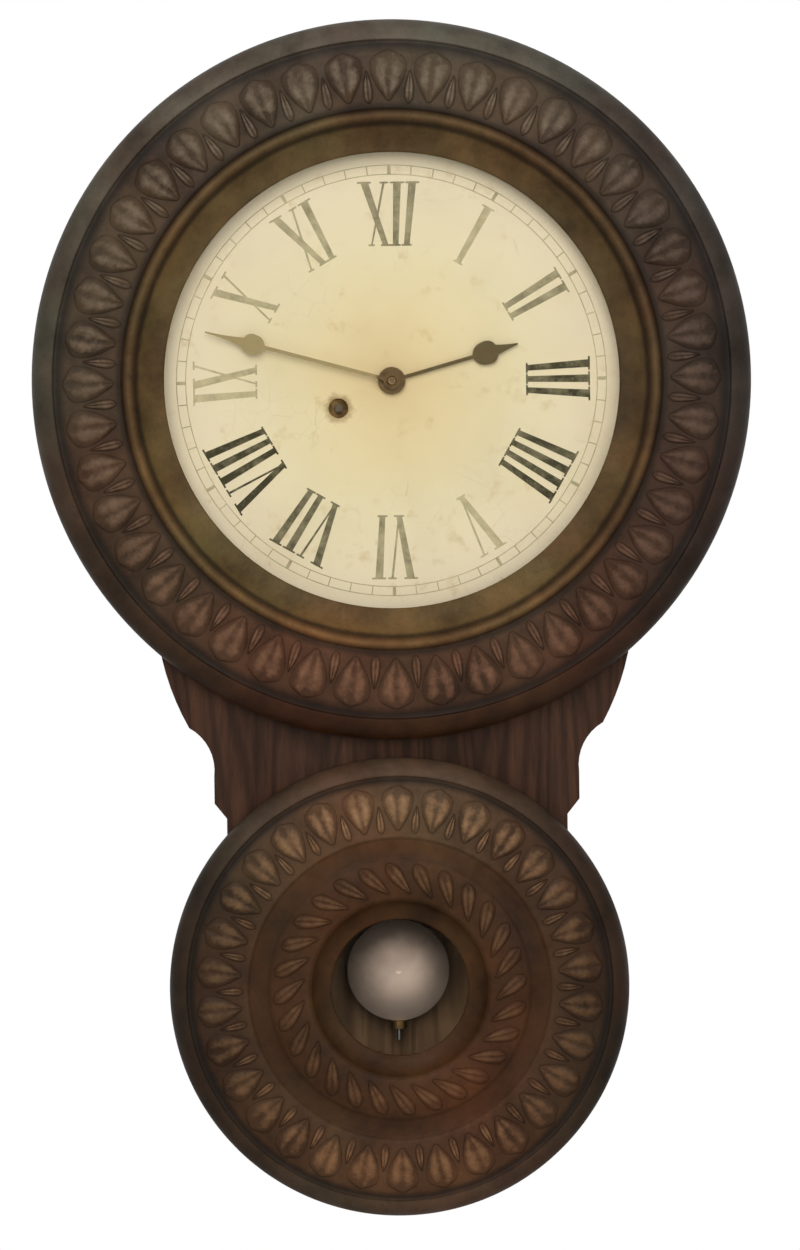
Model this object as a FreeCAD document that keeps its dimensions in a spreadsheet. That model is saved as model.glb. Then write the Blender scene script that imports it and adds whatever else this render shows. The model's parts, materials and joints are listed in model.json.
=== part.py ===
"""Figure-eight wall clock with two round moulded doors and an eight-day pendulum movement.

X points to the viewer's right, +Y into the wall and +Z up. The origin is the hole that the clock
hangs by, on the wall. Depth is counted from the wall towards the room, so y = -depth.
"""
import FreeCAD, Part
import Sketcher
import math
import operator
import os
from types import SimpleNamespace

Vector = FreeCAD.Vector
Rotation = FreeCAD.Rotation
Placement = FreeCAD.Placement

# Driving dimensions: millimetres, degrees or plain counts
DIMENSIONS = [
    ("upper_door_radius", 235.0, "outer edge of the upper door"),
    ("lower_door_radius", 151.0, "outer edge of the lower door"),
    ("door_gap", 12.0, "space between the two doors on the centre line"),
    ("hanger_below_top", 40.0, "hanging hole below the top of the case"),
    ("case_overhang", 10.0, "how far the doors stand out past the case sides"),
    ("back_thickness", 12.0, "backboard"),
    ("hoop_depth", 54.0, "depth of the bent wooden hoops"),
    ("hoop_wall", 9.0, "wall of the hoops"),
    ("front_thickness", 10.0, "front board"),
    ("dial_opening_radius", 140.0, "hole in the front board behind the dial"),
    ("lower_opening_radius", 118.0, "hole in the front board behind the lower door"),
    ("shoulder_half", 156.0, "half width of the waist where it leaves the upper hoop"),
    ("shoulder_round", 170.0, "radius of the shoulder's outline"),
    ("quirk_half", 136.0, "half width of the waist at the foot of the shoulder"),
    ("quirk_drop", 1.0, "foot of the shoulder below the upper hoop"),
    ("cove_round", 32.0, "radius of the hollow under the shoulder"),
    ("ear_half", 120.0, "half width of the straight ear"),
    ("ear_top", 1.0, "top of the ear below the lower hoop's top"),
    ("ear_height", 18.0, "straight side of the ear"),
    ("neck_half", 112.0, "half width of the waist under the ear"),
    ("neck_slope", 10.0, "height of the ear's sloping foot"),
    ("channel_half", 86.0, "half width of the passage for the pendulum"),
    ("door_seat", 0.5, "air between the doors and the front board"),
    ("sight_radius", 148.5, "visible opening of the upper door"),
    ("rim_rise", 1.5, "crest of a door's rim above the foot of its band"),
    ("quirk_width", 1.0, "small step beside a moulding"),
    ("quirk_sink", 0.5, "small step in height beside a moulding"),
    ("lip_chamfer", 0.6, "broken edge of the lip in front of a glass"),
    ("glass_wall", 7.0, "wall round the edge of a glass, behind the moulding"),
    ("upper_rim_height", 8.0, "straight edge of the upper door"),
    ("upper_rim_width", 14.0, "rounded rim of the upper door"),
    ("upper_rim_round", 16.0, "radius of the upper door's rim"),
    ("upper_band_edge", 18.0, "broad band's outer edge from the upper door's edge"),
    ("upper_band_round", 80.0, "radius of the upper door's broad band"),
    ("upper_band_height", 21.5, "outer foot of the upper door's broad band"),
    ("upper_crest_height", 26.0, "inner edge of the upper door's broad band"),
    ("upper_bead_round", 4.4, "bead round the inner edge of the band"),
    ("upper_bead_start", 19.0, "inner edge of that bead from the visible opening"),
    ("upper_bead_width", 8.0, "width of that bead"),
    ("upper_cove_round", 24.0, "radius of the hollow from the bead down to the glass"),
    ("upper_shell", 8.0, "wall of the upper door's moulding"),
    ("upper_hollow_inner", 30.0, "hollow back of the upper door, from the visible opening"),
    ("upper_hollow_outer", 24.0, "hollow back of the upper door, from its edge"),
    ("upper_rim_wall", 16.0, "wall of the upper door behind its rim"),
    ("hollow_step", 2.0, "hollow back above the dial glass's seat"),
    ("glass_wall_foot", 3.0, "foot of the wall round the dial glass above the door's back"),
    ("glass_seat", 13.0, "front face of the dial glass above the door's back"),
    ("glass_thickness", 2.2, "dial glass"),
    ("lip_thickness", 2.5, "lip in front of a glass"),
    ("glass_margin", 7.5, "glass hidden behind the lip"),
    ("glass_play", 0.4, "air round the edge of a glass"),
    ("glass_bead_height", 3.4, "ring that holds the dial glass"),
    ("window_radius", 45.0, "visible opening of the lower door"),
    ("lower_rim_height", 7.0, "straight edge of the lower door"),
    ("lower_rim_width", 11.0, "rounded rim of the lower door"),
    ("lower_rim_round", 13.0, "radius of the lower door's rim"),
    ("lower_rim_wall", 14.0, "wall of the lower door behind its rim"),
    ("lower_band_edge", 15.0, "outer band's edge from the lower door's edge"),
    ("lower_band_height", 16.5, "foot of the lower door's bands"),
    ("outer_band_width", 36.0, "outer raised band of the lower door"),
    ("outer_band_round", 60.0, "radius of the outer band"),
    ("inner_band_width", 25.0, "inner raised band of the lower door"),
    ("inner_band_round", 34.0, "radius of the inner band"),
    ("band_rise", 2.0, "inner edges of the bands above their foot"),
    ("band_bevel", 2.0, "sloping side of a band"),
    ("window_bevel", 15.0, "hollow between the inner band and the visible opening"),
    ("lower_cove_round", 16.0, "radius of that hollow"),
    ("lower_shell", 6.0, "wall of the lower door's moulding"),
    ("lower_hollow_inset", 8.0, "hollow back of the lower door inside the bands' edges"),
    ("window_wall_foot", 0.5, "foot of the wall round the window glass above the door's back"),
    ("window_wall_shell", 9.0, "moulding in front of that wall"),
    ("window_seat", 6.0, "front face of the window glass above the door's back"),
    ("window_thickness", 2.0, "window glass"),
    ("window_margin", 5.5, "window glass hidden behind the lip"),
    ("window_bead_height", 2.4, "ring that holds the window glass"),
    ("dial_margin", 9.0, "dial hidden behind the upper door"),
    ("dial_thickness", 0.8, "zinc dial"),
    ("dial_centre_hole", 5.2, "radius of the dial's centre hole"),
    ("winding_hole", 6.5, "radius of the dial's winding hole"),
    ("hanger_hole", 4.5, "radius of the hanging hole"),
    ("hanger_length", 64.0, "hanging plate"),
    ("hanger_width", 24.0, "hanging plate"),
    ("hanger_thickness", 2.5, "hanging plate"),
    ("hanger_screw_reach", 23.0, "hanging plate's screws from its hole"),
    ("nail_relief_radius", 9.0, "room behind the hanging hole for the nail"),
    ("nail_relief_depth", 9.0, "room behind the hanging hole for the nail"),
    ("movement_standoff", 22.5, "back plate in front of the backboard"),
    ("plate_thickness", 1.5, "movement plates"),
    ("plate_space", 28.0, "room between the movement plates"),
    ("plate_left", 78.0, "front plate, left of the dial centre"),
    ("plate_right", 36.0, "front plate, right of the dial centre"),
    ("plate_top", 84.0, "plates, above the dial centre"),
    ("plate_bottom", 58.0, "plates, below the dial centre"),
    ("plate_lug", 14.0, "back plate beyond the front plate at each side"),
    ("plate_corner", 6.0, "corner radius of the plates"),
    ("pillar_inset", 8.0, "pillar axis from the plate edges"),
    ("pillar_radius", 4.0, "movement pillars"),
    ("pivot_play", 0.05, "radial clearance of a pivot in its hole"),
    ("pinion_leaves", 8, "trundles of each lantern pinion"),
    ("great_teeth", 96, "great wheel"),
    ("great_module", 0.755, "great wheel and centre pinion"),
    ("great_bearing", 206.6, "direction of the great arbor, degrees from +X"),
    ("centre_teeth", 84, "centre wheel"),
    ("centre_module", 0.55, "centre wheel and third pinion"),
    ("third_bearing", 55.0, "direction of the third arbor, degrees from +X"),
    ("third_teeth", 68, "third wheel"),
    ("third_module", 0.5, "third wheel and escape pinion"),
    ("escape_teeth", 30, "escape wheel"),
    ("escape_radius", 15.0, "tips of the escape wheel"),
    ("pallet_half_span", 47.8, "half of the anchor's span, degrees of the escape wheel"),
    ("pallet_air", 1.4, "anchor clear of the escape wheel's tips"),
    ("wheel_thickness", 1.5, "train wheels"),
    ("great_thickness", 1.8, "great wheel"),
    ("arbor_radius", 1.2, "third, escape and verge arbors"),
    ("pivot_radius", 0.65, "pivots of the train"),
    ("spring_width", 17.0, "mainspring"),
    ("spring_thickness", 0.5, "mainspring"),
    ("spring_pitch", 3.4, "step from coil to coil"),
    ("spring_turns", 7, "coils of the mainspring"),
    ("winding_radius", 3.0, "winding arbor"),
    ("winding_collar", 5.0, "winding arbor inside the mainspring"),
    ("ratchet_teeth", 24, "ratchet wheel"),
    ("ratchet_radius", 13.0, "ratchet wheel"),
    ("click_air", 0.4, "click clear of the ratchet's tips"),
    ("motion_module", 0.6, "cannon pinion and minute wheel"),
    ("cannon_leaves", 12, "cannon pinion"),
    ("minute_wheel_teeth", 36, "minute wheel"),
    ("minute_pinion_leaves", 10, "pinion of the minute wheel"),
    ("hour_wheel_teeth", 40, "hour wheel"),
    ("motion_bearing", -50.0, "direction of the minute wheel, degrees from +X"),
    ("centre_arbor_radius", 1.6, "arbor that carries the minute hand"),
    ("cannon_tube_radius", 2.6, "tube of the cannon pinion"),
    ("hour_pipe_radius", 3.8, "pipe of the hour wheel"),
    ("hour_hand_length", 86.0, "centre to tip"),
    ("hour_hand_boss", 9.0, "round boss of the hour hand"),
    ("hour_hand_lobe", 7.5, "half width of the hour hand's spade"),
    ("minute_hand_length", 126.0, "centre to tip"),
    ("minute_hand_boss", 5.5, "round boss of the minute hand"),
    ("minute_hand_lobe", 6.5, "half width of the minute hand's spade"),
    ("hand_thickness", 0.8, "hands"),
    ("hour_hand_turn", 74.4, "hour hand, degrees clockwise from twelve"),
    ("minute_hand_turn", 285.3, "minute hand, degrees clockwise from twelve"),
    ("bob_rise", 5.0, "bob centre above the lower door's centre"),
    ("bob_radius", 34.0, "pendulum bob"),
    ("bob_half_thickness", 10.0, "pendulum bob at its middle"),
    ("bob_edge", 2.5, "half thickness of the bob's edge"),
    ("rod_radius", 1.5, "pendulum rod"),
    ("rod_gap", 14.0, "pendulum rod in front of the backboard"),
    ("rod_play", 0.1, "radial clearance of the rod in the bob"),
    ("hinge_leaf", 1.2, "hinge leaves"),
    ("hinge_door_width", 7.2, "door leaf from the pin"),
    ("hinge_case_width", 7.0, "case leaf from the pin"),
    ("hinge_set_back", 3.0, "hinge pin behind the doors' back"),
    ("knuckle_radius", 2.2, "hinge knuckles"),
    ("hinge_pin_radius", 1.1, "hinge pins"),
    ("knuckle_air", 0.25, "clearance beside a knuckle"),
    ("upper_hinge_length", 26.0, "each hinge of the upper door"),
    ("upper_hinge_spread", 22.0, "upper hinges from the door's middle"),
    ("lower_hinge_length", 20.0, "each hinge of the lower door"),
    ("lower_hinge_spread", 16.0, "lower hinges from the door's middle"),
    ("hook_reach", 24.0, "hook pivot to its notch"),
    ("hook_thickness", 1.3, "door hooks"),
    ("hook_half_width", 3.5, "door hooks"),
    ("hook_pin_radius", 1.4, "pin that the hook catches"),
    ("hook_pin_air", 0.35, "clearance of the pin in the hook's notch"),
]

OPERATORS = {"+": operator.add, "-": operator.sub, "*": operator.mul, "/": operator.truediv}


class Size:
    """A number with its formula on the sheet and its present value."""

    def __init__(self, formula, value):
        self.formula = formula
        self.value = value

    def __add__(self, other):
        return combine(self, "+", other)

    def __radd__(self, other):
        return combine(other, "+", self)

    def __sub__(self, other):
        return combine(self, "-", other)

    def __rsub__(self, other):
        return combine(other, "-", self)

    def __mul__(self, other):
        return combine(self, "*", other)

    def __rmul__(self, other):
        return combine(other, "*", self)

    def __truediv__(self, other):
        return combine(self, "/", other)

    def __rtruediv__(self, other):
        return combine(other, "/", self)

    def __neg__(self):
        return combine(0, "-", self)


def as_size(number):
    if isinstance(number, Size):
        return number
    return Size(f"({float(number)!r})", float(number))


def combine(left, sign, right):
    left = as_size(left)
    right = as_size(right)
    return Size(f"({left.formula} {sign} {right.formula})", OPERATORS[sign](left.value, right.value))


def root(size):
    return Size(f"sqrt({size.formula})", math.sqrt(size.value))


def cosine(degrees):
    return Size(f"cos({degrees.formula})", math.cos(math.radians(degrees.value)))


def sine(degrees):
    return Size(f"sin({degrees.formula})", math.sin(math.radians(degrees.value)))


doc = FreeCAD.newDocument("FigureEightClock")
sheet = doc.addObject("Spreadsheet::Sheet", "Sizes")
for row, (name, value, note) in enumerate(DIMENSIONS, start=1):
    sheet.set(f"A{row}", name)
    sheet.set(f"B{row}", str(value))
    sheet.set(f"C{row}", note)
    sheet.setAlias(f"B{row}", name)
doc.recompute()
S = SimpleNamespace(**{name: Size(f"Sizes.{name}", float(sheet.get(name))) for name, _, _ in DIMENSIONS})

SUB_PARTS = []


def bind(thing, path, size):
    """Tie one property of an object to its formula on the sheet."""
    thing.setExpression(path, as_size(size).formula)


def keep(thing, label):
    thing.Label = label
    SUB_PARTS.append(thing)
    return thing


def place(thing, x=0, depth=0, z=0, turn=None):
    """Put an object at x, depth and z, turned by an axis and an angle first."""
    x = as_size(x)
    y = -as_size(depth)
    z = as_size(z)
    spin = Rotation(turn[0], as_size(turn[1]).value) if turn else Rotation()
    thing.Placement = Placement(Vector(x.value, y.value, z.value), spin)
    bind(thing, "Placement.Base.x", x)
    bind(thing, "Placement.Base.y", y)
    bind(thing, "Placement.Base.z", z)
    if turn and isinstance(turn[1], Size):
        bind(thing, "Placement.Rotation.Angle", turn[1])
    return thing


# Sketches and features


def new_body(label):
    return keep(doc.addObject("PartDesign::Body", label), label)


def new_sketch(body, plane, offset=0, spin=None):
    sketch = body.newObject("Sketcher::SketchObject", body.Label + "_sketch")
    support = [feature for feature in body.Origin.OriginFeatures if feature.Role == plane][0]
    sketch.AttachmentSupport = [(support, "")]
    sketch.MapMode = "FlatFace"
    offset = as_size(offset)
    sketch.AttachmentOffset = Placement(Vector(0, 0, offset.value), spin or Rotation())
    bind(sketch, "AttachmentOffset.Base.z", offset)
    return sketch


def face_sketch(body, depth):
    """Sketch seen from the room, x to the right and z up, at a depth from the wall."""
    return new_sketch(body, "XZ_Plane", depth)


def side_sketch(body, x):
    """Sketch with y to the right and z up, at x."""
    return new_sketch(body, "YZ_Plane", x)


def plan_sketch(body, height):
    """Sketch with x to the right and y up, at a height."""
    return new_sketch(body, "XY_Plane", height)


def turning_sketch(body):
    """Half section for turning: radius to the right, depth up, about the Y axis."""
    return new_sketch(body, "XY_Plane", 0, Rotation(Vector(1, 0, 0), 180))


def add_rules(sketch, rules):
    """Add constraints, each with the size that drives it, or None."""
    first = sketch.ConstraintCount
    sketch.addConstraint([rule for rule, _ in rules])
    for number, (_, size) in enumerate(rules, start=first):
        if size is not None and "Sizes." in size.formula:
            bind(sketch, f"Constraints[{number}]", size)


def arc_between(start, end, radius, bend):
    """Arc of under a half turn; bend is +1 where it curves to the left on its way."""
    chord = end - start
    side = Vector(-chord.y, chord.x, 0).normalize() * bend
    middle = (start + end) * 0.5
    centre = middle + side * math.sqrt(radius * radius - chord.Length * chord.Length / 4)
    first, last = (start, end) if bend > 0 else (end, start)
    angles = [math.atan2(point.y - centre.y, point.x - centre.x) for point in (first, last)]
    return Part.ArcOfCircle(Part.Circle(centre, Vector(0, 0, 1), radius), angles[0], angles[1])


def draw_loop(sketch, steps):
    """Closed outline. A step is (u, v), or (u, v, radius, bend) where an arc leads to that corner."""
    corners = [(as_size(step[0]), as_size(step[1])) for step in steps]
    points = [Vector(u.value, v.value, 0) for u, v in corners]
    first = sketch.GeometryCount
    edges = []
    ends = []
    rules = []
    for number, step in enumerate(steps):
        edge = first + number
        if len(step) == 2:
            edges.append(Part.LineSegment(points[number - 1], points[number]))
            ends.append((1, 2))
        else:
            radius = as_size(step[2])
            edges.append(arc_between(points[number - 1], points[number], radius.value, step[3]))
            ends.append((1, 2) if step[3] > 0 else (2, 1))
            rules.append((Sketcher.Constraint("Radius", edge, radius.value), radius))
    for number, (u, v) in enumerate(corners):
        edge = first + number
        following = (number + 1) % len(steps)
        next_edge = first + following
        joint = Sketcher.Constraint("Coincident", edge, ends[number][1], next_edge, ends[following][0])
        rules.append((joint, None))
        rules.append((Sketcher.Constraint("DistanceX", -1, 1, edge, ends[number][1], u.value), u))
        rules.append((Sketcher.Constraint("DistanceY", -1, 1, edge, ends[number][1], v.value), v))
    sketch.addGeometry(edges, False)
    add_rules(sketch, rules)


def draw_circle(sketch, u, v, radius):
    u = as_size(u)
    v = as_size(v)
    radius = as_size(radius)
    edge = sketch.GeometryCount
    sketch.addGeometry(Part.Circle(Vector(u.value, v.value, 0), Vector(0, 0, 1), radius.value), False)
    rules = [
        (Sketcher.Constraint("Radius", edge, radius.value), radius),
        (Sketcher.Constraint("DistanceX", -1, 1, edge, 3, u.value), u),
        (Sketcher.Constraint("DistanceY", -1, 1, edge, 3, v.value), v),
    ]
    add_rules(sketch, rules)


def draw_box(sketch, u0, v0, u1, v1):
    draw_loop(sketch, [(u0, v0), (u1, v0), (u1, v1), (u0, v1)])


def feature(body, kind, sketch, name):
    thing = body.newObject(f"PartDesign::{kind}", body.Label + name)
    thing.Profile = sketch
    return thing


def pad(body, sketch, length, backwards=False):
    thing = feature(body, "Pad", sketch, "_pad")
    thing.Length = as_size(length).value
    bind(thing, "Length", length)
    thing.Reversed = backwards
    return thing


def pocket(body, sketch, depth, forwards=False):
    """Cut from the sketch against its normal, or along it where forwards is set."""
    thing = feature(body, "Pocket", sketch, "_pocket")
    thing.Length = as_size(depth).value
    bind(thing, "Length", depth)
    thing.Reversed = forwards
    return thing


def revolve(body, sketch):
    thing = feature(body, "Revolution", sketch, "_turning")
    thing.ReferenceAxis = (sketch, ["V_Axis"])
    thing.Angle = 360
    return thing


def polar_pattern(body, source, sketch, count):
    pattern = body.newObject("PartDesign::PolarPattern", body.Label + "_pattern")
    pattern.Originals = [source]
    pattern.Axis = (sketch, ["N_Axis"])
    pattern.Angle = 360
    pattern.Occurrences = int(count.value)
    bind(pattern, "Occurrences", count)
    body.Tip = pattern
    return pattern


def turned(label, steps, x=0, z=0):
    """Piece turned about an axis along Y; steps are (radius, depth from the wall)."""
    body = new_body(label)
    sketch = turning_sketch(body)
    draw_loop(sketch, steps)
    revolve(body, sketch)
    place(body, x, 0, z)
    return body


# Primitives and booleans

ALONG_DEPTH = (Vector(1, 0, 0), 90)
ALONG_X = (Vector(0, 1, 0), 90)


def cylinder(name, radius, length, x, depth, z, turn=None):
    thing = doc.addObject("Part::Cylinder", name)
    thing.Radius = as_size(radius).value
    thing.Height = as_size(length).value
    bind(thing, "Radius", radius)
    bind(thing, "Height", length)
    return place(thing, x, depth, z, turn)


def box(name, x0, x1, depth0, depth1, z0, z1):
    """Box between two planes each way; depth1 is the front."""
    thing = doc.addObject("Part::Box", name)
    for side, size in (("Length", x1 - x0), ("Width", depth1 - depth0), ("Height", z1 - z0)):
        setattr(thing, side, as_size(size).value)
        bind(thing, side, size)
    return place(thing, x0, depth1, z0)


def fuse(name, things):
    thing = doc.addObject("Part::MultiFuse", name)
    thing.Shapes = things
    return thing


def cut(name, base, tool):
    thing = doc.addObject("Part::Cut", name)
    thing.Base = base
    thing.Tool = tool
    return thing


def group(label, things):
    """Identical pieces kept together as separate solids."""
    thing = doc.addObject("Part::Compound", label)
    thing.Links = things
    return keep(thing, label)


def feature_shape(label, shape, x=0, z=0):
    thing = doc.addObject("Part::Feature", label)
    thing.Shape = shape
    place(thing, x, 0, z)
    return keep(thing, label)


# Toothed wheels, drawn in the plane of the dial

# Shares of a tooth's pitch or of its module
TOOTH_ROOT_SHARE = 0.24
TOOTH_TIP_SHARE = 0.09
ADDENDUM_SHARE = 0.75
DEDENDUM_SHARE = 1.05
TRUNDLE_SHARE = 0.22
SPOKES = 4
SPOKE_WIDTH = 2.6
RIM_SHARE = 2.2
HUB_RIM_SHARE = 0.28
HUB_BORE_SHARE = 0.7


def polar(radius, degrees, depth=0.0):
    angle = math.radians(degrees)
    return Vector(radius * math.cos(angle), -depth, radius * math.sin(angle))


def loop_face(points, holes):
    outline = Part.makePolygon(points + [points[0]])
    return Part.makeFace([outline] + holes, "Part::FaceMakerBullseye")


def ring_wire(radius, depth, x=0.0, z=0.0):
    return Part.Wire(Part.makeCircle(radius, Vector(x, -depth, z), Vector(0, 1, 0)))


def tooth_points(teeth, module, gap_bearing, depth):
    """Outline of a wheel with straight-sided teeth and a gap centred on the bearing."""
    pitch_radius = teeth * module / 2
    pitch = 360.0 / teeth
    points = []
    for number in range(teeth):
        middle = gap_bearing + (number + 0.5) * pitch
        corners = (
            (pitch_radius - DEDENDUM_SHARE * module, -TOOTH_ROOT_SHARE),
            (pitch_radius + ADDENDUM_SHARE * module, -TOOTH_TIP_SHARE),
            (pitch_radius + ADDENDUM_SHARE * module, TOOTH_TIP_SHARE),
            (pitch_radius - DEDENDUM_SHARE * module, TOOTH_ROOT_SHARE),
        )
        points += [polar(radius, middle + share * pitch, depth) for radius, share in corners]
    return points


def spoke_windows(count, inner, outer, width, depth):
    """Openings between the spokes of a wheel."""
    wires = []
    for number in range(count):
        start = 360.0 / count * number
        end = start + 360.0 / count
        inner_lean = math.degrees(math.asin(width / 2 / inner))
        outer_lean = math.degrees(math.asin(width / 2 / outer))
        corners = [
            polar(inner, start + inner_lean, depth),
            polar(outer, start + outer_lean, depth),
            polar(outer, end - outer_lean, depth),
            polar(inner, end - inner_lean, depth),
        ]
        middle = (start + end) / 2
        rim = Part.Arc(corners[1], polar(outer, middle, depth), corners[2]).toShape()
        hub = Part.Arc(corners[3], polar(inner, middle, depth), corners[0]).toShape()
        sides = [Part.makeLine(corners[0], corners[1]), Part.makeLine(corners[2], corners[3])]
        wires.append(Part.Wire([sides[0], rim, sides[1], hub]))
    return wires


def toothed_wheel(teeth, module, gap_bearing, depth, thickness, bore, spokes=0, spoke_width=SPOKE_WIDTH):
    """Solid of a spoked or plain toothed wheel about the Y axis."""
    teeth = int(teeth.value)
    module = module.value
    depth = as_size(depth).value
    holes = [ring_wire(as_size(bore).value, depth)]
    if spokes:
        rim = teeth * module / 2 - (DEDENDUM_SHARE + RIM_SHARE) * module
        hub = rim * HUB_RIM_SHARE + as_size(bore).value * HUB_BORE_SHARE
        holes += spoke_windows(spokes, hub, rim, spoke_width, depth)
    face = loop_face(tooth_points(teeth, module, as_size(gap_bearing).value, depth), holes)
    return face.extrude(Vector(0, -as_size(thickness).value, 0))


def tube(radius, bore, depth0, depth1):
    length = (depth1 - depth0).value
    base = Vector(0, -depth0.value, 0)
    outside = Part.makeCylinder(as_size(radius).value, length, base, Vector(0, -1, 0))
    inside = Part.makeCylinder(as_size(bore).value, length, base, Vector(0, -1, 0))
    return outside.cut(inside)


# Shared places

upper_case_radius = S.upper_door_radius - S.case_overhang
lower_case_radius = S.lower_door_radius - S.case_overhang
centre_distance = S.upper_door_radius + S.door_gap + S.lower_door_radius
hanger_drop = upper_case_radius - S.hanger_below_top
dial_z = -hanger_drop
lower_z = dial_z - centre_distance
hoop_front = S.back_thickness + S.hoop_depth
case_front_depth = hoop_front + S.front_thickness
door_back = case_front_depth + S.door_seat
dial_front = case_front_depth + S.dial_thickness
plate_back = S.back_thickness + S.movement_standoff
train_back = plate_back + S.plate_thickness
train_front = train_back + S.plate_space
plate_front = train_front + S.plate_thickness
rod_depth = S.back_thickness + S.rod_gap

great_reach = (S.great_teeth + S.pinion_leaves) * S.great_module / 2
great_x = great_reach * cosine(S.great_bearing)
great_up = great_reach * sine(S.great_bearing)
third_reach = (S.centre_teeth + S.pinion_leaves) * S.centre_module / 2
third_x = third_reach * cosine(S.third_bearing)
third_up = third_reach * sine(S.third_bearing)
escape_reach = (S.third_teeth + S.pinion_leaves) * S.third_module / 2
escape_up = third_up + root(escape_reach * escape_reach - third_x * third_x)
escape_bearing = math.degrees(math.atan2((escape_up - third_up).value, -third_x.value))
verge_up = escape_up + S.escape_radius / cosine(S.pallet_half_span)
motion_reach = (S.cannon_leaves + S.minute_wheel_teeth) * S.motion_module / 2
motion_x = motion_reach * cosine(S.motion_bearing)
motion_up = motion_reach * sine(S.motion_bearing)
hour_module = 2 * motion_reach / (S.minute_pinion_leaves + S.hour_wheel_teeth)
pivot_hole = S.pivot_radius + S.pivot_play
centre_hole = S.centre_arbor_radius + S.pivot_play
winding_bore = S.winding_radius + S.pivot_play

# Steps in depth along the train
CENTRE_WHEEL_STEP = 1.5
THIRD_WHEEL_STEP = 8.0
ESCAPE_WHEEL_STEP = 16.0
SPRING_STEP = 5.0
SPRING_SIDE_AIR = 1.0
CLICK_SIDE_AIR = 0.4
CANNON_STEP = 1.0
HOUR_WHEEL_STEP = 1.2
HOUR_HAND_AIR = 2.2
MINUTE_HAND_AIR = 2.6
CRUTCH_STEP = 3.0

centre_wheel_depth = train_back + CENTRE_WHEEL_STEP
third_wheel_depth = train_back + THIRD_WHEEL_STEP
escape_wheel_depth = train_back + ESCAPE_WHEEL_STEP
spring_depth = train_back + SPRING_STEP
ratchet_depth = spring_depth + S.spring_width + SPRING_SIDE_AIR
great_depth = ratchet_depth + S.wheel_thickness + CLICK_SIDE_AIR
cannon_depth = plate_front + CANNON_STEP
minute_pinion_depth = cannon_depth + S.wheel_thickness
hour_wheel_depth = minute_pinion_depth + HOUR_WHEEL_STEP
hour_hand_depth = dial_front + HOUR_HAND_AIR
minute_hand_depth = hour_hand_depth + S.hand_thickness + MINUTE_HAND_AIR
hand_nut_depth = minute_hand_depth + S.hand_thickness
crutch_depth = rod_depth + CRUTCH_STEP


# Small fittings
HANGER_HEAD = 3.2
HANGER_SHANK = 1.5
HANGER_SCREW_LENGTH = 9.0
DIAL_HEAD = 2.4
DIAL_HEAD_HEIGHT = 1.2
DIAL_SHANK = 1.1
DIAL_SCREW_LENGTH = 6.0
KNUCKLE_SINK = 0.9
MORTISE_REACH = 8.0
BEAD_REVEAL = 2.0
BEAD_EDGE = 1.0
BEAD_BACK = 1.5
HOOK_SIDE_AIR = 0.8
HOOK_SCREW_RADIUS = 2.0
HOOK_SCREW_SINK = 6.0
HOOK_HEAD_AIR = 0.3
HOOK_HEAD_RADIUS = 3.2
HOOK_HEAD_HEIGHT = 1.4
HOOK_TIP = 2.5
HOOK_NOSE_CUT = 1.0
HOOK_HEEL_CUT = 2.0
NOTCH_DEPTH_SHARE = 0.4
NOTCH_ROUND_SHARE = 1.02
KEEPER_AIR = 1.1
KEEPER_WALL = 1.5
KEEPER_FOOT = 11.5
KEEPER_HALF = 6.0
KEEPER_SEAT_REACH = 2.0
KEEPER_PIN_BACK = 6.0
KEEPER_PIN_MARGIN = 3.0
KEEPER_PIN_AIR = 0.3
LUG_SCREW = 1.6
LUG_SCREW_LENGTH = 14.0
LUG_SCREW_INSET = 14.0
LUG_HEAD = 3.4
LUG_HEAD_HEIGHT = 1.6
BLOCK_MARGIN = 1.0
PILLAR_STUB = 2.0
STUB_END = 1.0
NUT_SIDES = 6
NUT_RADIUS = 4.2
NUT_HEIGHT = 3.2
POST_RADIUS = 1.5
POST_END = 1.0
WINDING_PIVOT = 2.0
PIVOT_END = 0.2
END_SHAKE = 0.3
SLEEVE_AIR = 0.2
SLEEVE_RADIUS = 2.2
SHROUD_EDGE = 0.35
SHROUD_AIR = 0.45
SHROUD_THICKNESS = 0.7
COLLET_WALL = 1.4
COLLET_LENGTH = 1.6
ESCAPE_THICKNESS = 0.9
ESCAPE_SPOKE = 1.6
ESCAPE_ROOT_SHARE = 0.78
ESCAPE_RIM_SHARE = 0.68
ESCAPE_HUB_SHARE = 0.25
ESCAPE_TIP_SHARE = 0.12
ESCAPE_HEEL_SHARE = 0.2
ESCAPE_BACK_SHARE = 0.5
GREAT_SPOKE = 6.0
CLICK_RIVET = 1.4
CLICK_PIVOT = 19.5
CLICK_BOSS = 3.0
CLICK_NOSE = 0.5
CLICK_BEARING = 52.0
CLICK_SPRING_AIR = 0.3
CLICK_SPRING_THICKNESS = 0.6
CLICK_SPRING_FOOT = 2.0
CLICK_SPRING_FIRST = 96.0
CLICK_SPRING_LAST = 180.0
SQUARE_STEP = 2.0
SQUARE_SET_BACK = 1.0
SQUARE_SHARE = 0.68
RATCHET_ROOT_SHARE = 0.87
RATCHET_LEAN_SHARE = 0.12
SPRING_LOOP_AIR = 0.3
SPRING_START_AIR = 1.5
SPRING_LOOP_TURN = 250.0
SPRING_ARC_POINTS = 36
SPRING_NEAR_SHARE = 3
ANCHOR_WIDTH = 2.6
PALLET_LEAN = 4.0
PALLET_MARGIN = 1.0
VERGE_HUB_SINK = 1.5
CRUTCH_LENGTH = 34.0
CRUTCH_THICKNESS = 1.2
CRUTCH_PIN = 0.9
CRUTCH_AIR = 0.3
CRUTCH_HALF = 1.5
CRUTCH_HUB = 3.5
CRUTCH_FOOT = 5.0
CRUTCH_FOOT_HALF = 2.0
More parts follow.
